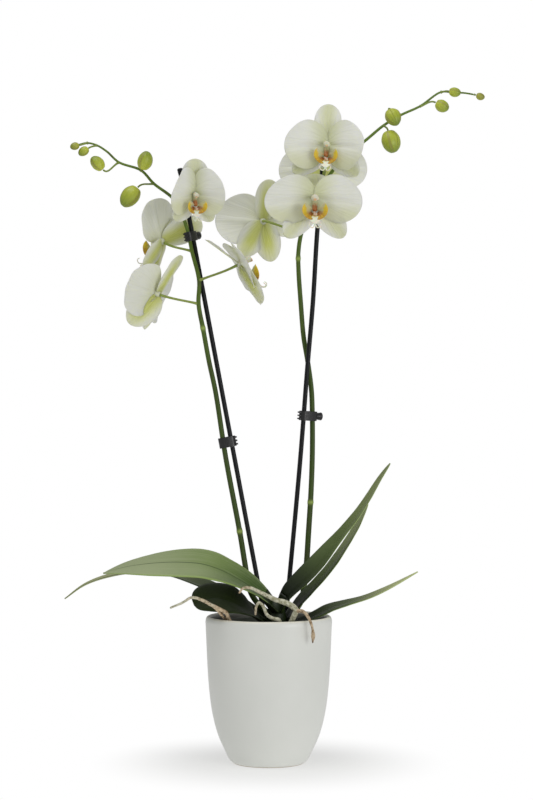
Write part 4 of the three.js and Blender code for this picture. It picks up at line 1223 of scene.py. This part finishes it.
def bud_finish():
    """Bud green: lay x goes round the bud in turns, y from its foot to its beak, and z is how
    young and brown the bud is."""
    finish, wire = material("bud_green")
    lay = lay_of(wire)
    turn, along, young = parts_of(lay)
    streak = grain(wire, 3, (6, 0.6, 0), detail=4, place=lay)
    seam = between(turn.maths("COSINE", turn * (6 * pi)), 0.84, 1.0)
    pale = tint(streak, (0.38, 0.46, 0.025), (0.68, 0.7, 0.1))
    deep = tint(streak, (0.11, 0.18, 0.008), (0.29, 0.37, 0.025))
    skin = tint(between(along, 0.2, 0.95), pale, deep)
    seamed = tint(seam * 0.6, skin, (0.3, 0.26, 0.07))
    color = tint(young, seamed, (0.25, 0.2, 0.05))
    fixed = {"Subsurface Weight": 0.2, "Subsurface Scale": 0.003, "Subsurface Radius": (0.9, 1, 0.3)}
    surface(wire, color, 0.3 + streak * 0.15, relief(streak - seam, 0.0004), fixed)
    return finish


bud_green = bud_finish()
bud_side = Path([(r, 0, z) for r, z in BUD_OUTLINE])
for name, bud in BUDS.items():
    shape = new_shape()
    lay = shape.verts.layers.float_vector["lay"]
    egg = bmesh.ops.create_uvsphere(shape, u_segments=48, v_segments=32, radius=1)["verts"]
    young = clamp((13 - bud["length"]) / 8, 0, 0.6)
    for vert in egg:
        along = math.acos(clamp(-vert.co.z, -1, 1)) / pi
        angle = math.atan2(vert.co.y, vert.co.x)
        spot = bud_side.at(along)
        ridge = 1 + 0.05 * max(0, cos(3 * angle)) ** 6 * sin(pi * along)
        lobed = 1 - 0.05 * (1 - cos(3 * angle)) * along
        radius = spot.x * bud["width"] / 2 * ridge * lobed * 0.97
        vert[lay] = (angle / (2 * pi), along, young)
        vert.co = (radius * cos(angle), radius * sin(angle), spot.z * bud["length"] * 0.985)
    turned = Vector((0, 0, 1)).rotation_difference(Vector(bud["axis"])).to_matrix().to_4x4()
    bmesh.ops.transform(shape, matrix=Matrix.Translation(bud["at"]) @ turned, verts=shape.verts)
    finish_piece(f"bud_{name}_sepals", shape, [bud_green], "bud", f"bud_{name}")

# -------------------- clips
# Small black sprung clips, moulded in gloss plastic: a toothed loop that closes round a stake and
# its spike, with a round spring barrel at its hinge.
CLIP_WALL = 1.7
TOOTH_LEVELS = (-0.34, 0, 0.34)
TOOTH_SIZE = (2.8, 5.6)
BARREL_LENGTH = 7
BARREL_RADII = (3.4, 4.4)
# A clip's bore is half the width of its loop, and its barrel is at the hinge, beyond what it names.
CLIPS = {
    "left_upper": dict(height=561.5, tall=10, bore=3, hinge="stake"),
    "left_lower": dict(height=342, tall=11, bore=3.3, hinge="none"),
    "right_lower": dict(height=369.5, tall=10, bore=3.4, hinge="spike"),
}


def clip_finish():
    finish, wire = material("clip_black")
    flow = grain(wire, 400, detail=3)
    color = tint(flow, (0.003, 0.003, 0.003), (0.01, 0.01, 0.011))
    surface(wire, color, 0.22 + flow * 0.15, relief(flow, 0.00015))
    return finish


def passing(path, height):
    """Where a stake or a spike passes a height."""
    climbs = path.at(0).z < path.at(1).z
    low, high = 0.0, 1.0
    while high - low > 1e-6:
        middle = (low + high) / 2
        if (path.at(middle).z > height) == climbs:
            high = middle
        else:
            low = middle
    return path.at(low)


def add_loop_band(shape, bore, outer, spacing, tall):
    """The clip's band: a long loop round two rods, extruded upwards."""
    rings = []
    for radius in (outer, bore):
        verts = bmesh.ops.create_circle(shape, segments=48, radius=radius)["verts"]
        bmesh.ops.rotate(shape, cent=(0, 0, 0), matrix=Matrix.Rotation(pi / 48, 3, "Z"), verts=verts)
        bmesh.ops.translate(shape, vec=(spacing, 0, 0), verts=[vert for vert in verts if vert.co.x > 0])
        rings += edges_of(verts)
    faces = bmesh.ops.bridge_loops(shape, edges=rings)["faces"]
    made = bmesh.ops.extrude_face_region(shape, geom=faces, use_keep_orig=True)["geom"]
    bmesh.ops.translate(shape, vec=(0, 0, tall), verts=verts_among(made))
    bmesh.ops.translate(shape, vec=(0, 0, -tall / 2), verts=shape.verts)


def add_block(shape, middle, size, bevel):
    """A moulded block with broken edges."""
    place = Matrix.Translation(middle) @ Matrix.Diagonal((*size, 1))
    verts = bmesh.ops.create_cube(shape, size=1, matrix=place)["verts"]
    break_edges(shape, edges_of(verts), bevel, segments=2)


clip_black = clip_finish()
for name, clip in CLIPS.items():
    side = name.split("_")[0]
    tall = clip["tall"]
    stake_path = Path(STAKES[side])
    stake = passing(stake_path, clip["height"])
    along = (stake - passing(stake_path, clip["height"] - 5)).normalized()
    across = passing(Path(SPIKES[side]["points"]), clip["height"]) - stake
    across -= along * across.dot(along)
    spacing = across.length
    across.normalize()
    outer = clip["bore"] + CLIP_WALL
    shape = new_shape()
    add_loop_band(shape, clip["bore"], outer, spacing, tall)
    ends = (-outer, spacing + outer)
    grip_end, hinge_end = reversed(ends) if clip["hinge"] == "stake" else ends
    for level in TOOTH_LEVELS:
        add_block(shape, (grip_end, 0, level * tall), (*TOOTH_SIZE, 0.16 * tall), 0.4)
    if clip["hinge"] != "none":
        outward = math.copysign(1, hinge_end)
        spot = Matrix.Translation((hinge_end + 2.2 * outward, 0, 0))
        foot, head = BARREL_RADII
        barrel = bmesh.ops.create_cone(
            shape, cap_ends=True, segments=36, radius1=foot, radius2=head, depth=BARREL_LENGTH,
            matrix=spot @ Matrix.Rotation(pi / 2 * outward, 4, "Y"),
        )["verts"]
        rims = [edge for edge in edges_of(barrel) if edge.calc_face_angle() > 0.7]
        break_edges(shape, rims, 0.5, segments=3)
    place = Matrix((across, along.cross(across), along)).transposed().to_4x4()
    bmesh.ops.transform(shape, matrix=Matrix.Translation(stake) @ place, verts=shape.verts)
    piece = finish_piece(f"clip_{name}_plastic", shape, [clip_black], "clip", f"clip_{name}")
    piece.data.set_sharp_from_angle(angle=0.6)

# -------------------- studio
# A floor of pale paper that glows a little, most of all away from the pot, under an even white
# surround. A broad soft light hangs above the front, and a smaller one stands on the right.
FLOOR_SIZE = 60
CAMERA_PLACE = (-0.0024, -2.3, 0.3863)
CAMERA_LENS = 97

bpy.ops.mesh.primitive_plane_add(size=FLOOR_SIZE)
floor = bpy.context.object
floor.name = "studio_floor"
finish, wire = material("studio_white")
seen = wire.node("LightPath", output=0)
spot = wire.node("TexCoord", output=3)
away = wire.node("VectorMath", {"operation": "LENGTH"}, {0: spot}, output=1)
glowing = 0.42 + seen * (0.1 + between(away, 0.05, 0.2) * 0.48)
paper = wire.node("BsdfDiffuse", {}, {"Color": (0.9, 0.9, 0.88)})
glow = wire.node("Emission", {}, {"Color": (1, 1, 1), "Strength": 1})
lit = wire.node("MixShader", {}, {0: glowing, 1: paper, 2: glow})
wire.node("OutputMaterial", {}, {"Surface": lit})
finish.cycles.emission_sampling = "NONE"
floor.data.materials.append(finish)

surround = bpy.data.worlds.new("white_surround")
surround.use_nodes = True
surround.node_tree.nodes.clear()
bpy.context.scene.world = surround
wire = Wire(surround.node_tree)
seen = wire.node("LightPath", output=0)
mirrored = wire.node("LightPath", output=3)
strength = 0.36 + seen * 0.64 + mirrored * 0.1
backdrop = wire.node("Background", {}, {"Color": (1, 1, 1), "Strength": strength})
wire.node("OutputWorld", {}, {"Surface": backdrop})


def add_softbox(name, place, aim, width, height, power):
    light = bpy.data.lights.new(name, "AREA")
    light.shape = "RECTANGLE"
    light.size, light.size_y = width, height
    light.energy = power
    lamp = bpy.data.objects.new(name, light)
    lamp.location = place
    lamp.rotation_euler = (Vector(aim) - Vector(place)).to_track_quat("-Z", "Y").to_euler()
    bpy.context.collection.objects.link(lamp)


add_softbox("overhead_light", (-0.3, -0.5, 1.9), (0, 0, 0.4), width=1.3, height=1, power=10)
add_softbox("front_light", (1.4, -1.6, 0.5), (0, 0, 0.3), width=0.9, height=0.8, power=9.4)

camera_data = bpy.data.cameras.new("camera")
camera_data.lens = CAMERA_LENS
camera = bpy.data.objects.new("camera", camera_data)
camera.location = CAMERA_PLACE
camera.rotation_euler = (pi / 2, 0, 0)
bpy.context.collection.objects.link(camera)
bpy.context.scene.camera = camera
bpy.context.scene.view_settings.view_transform = "Standard"
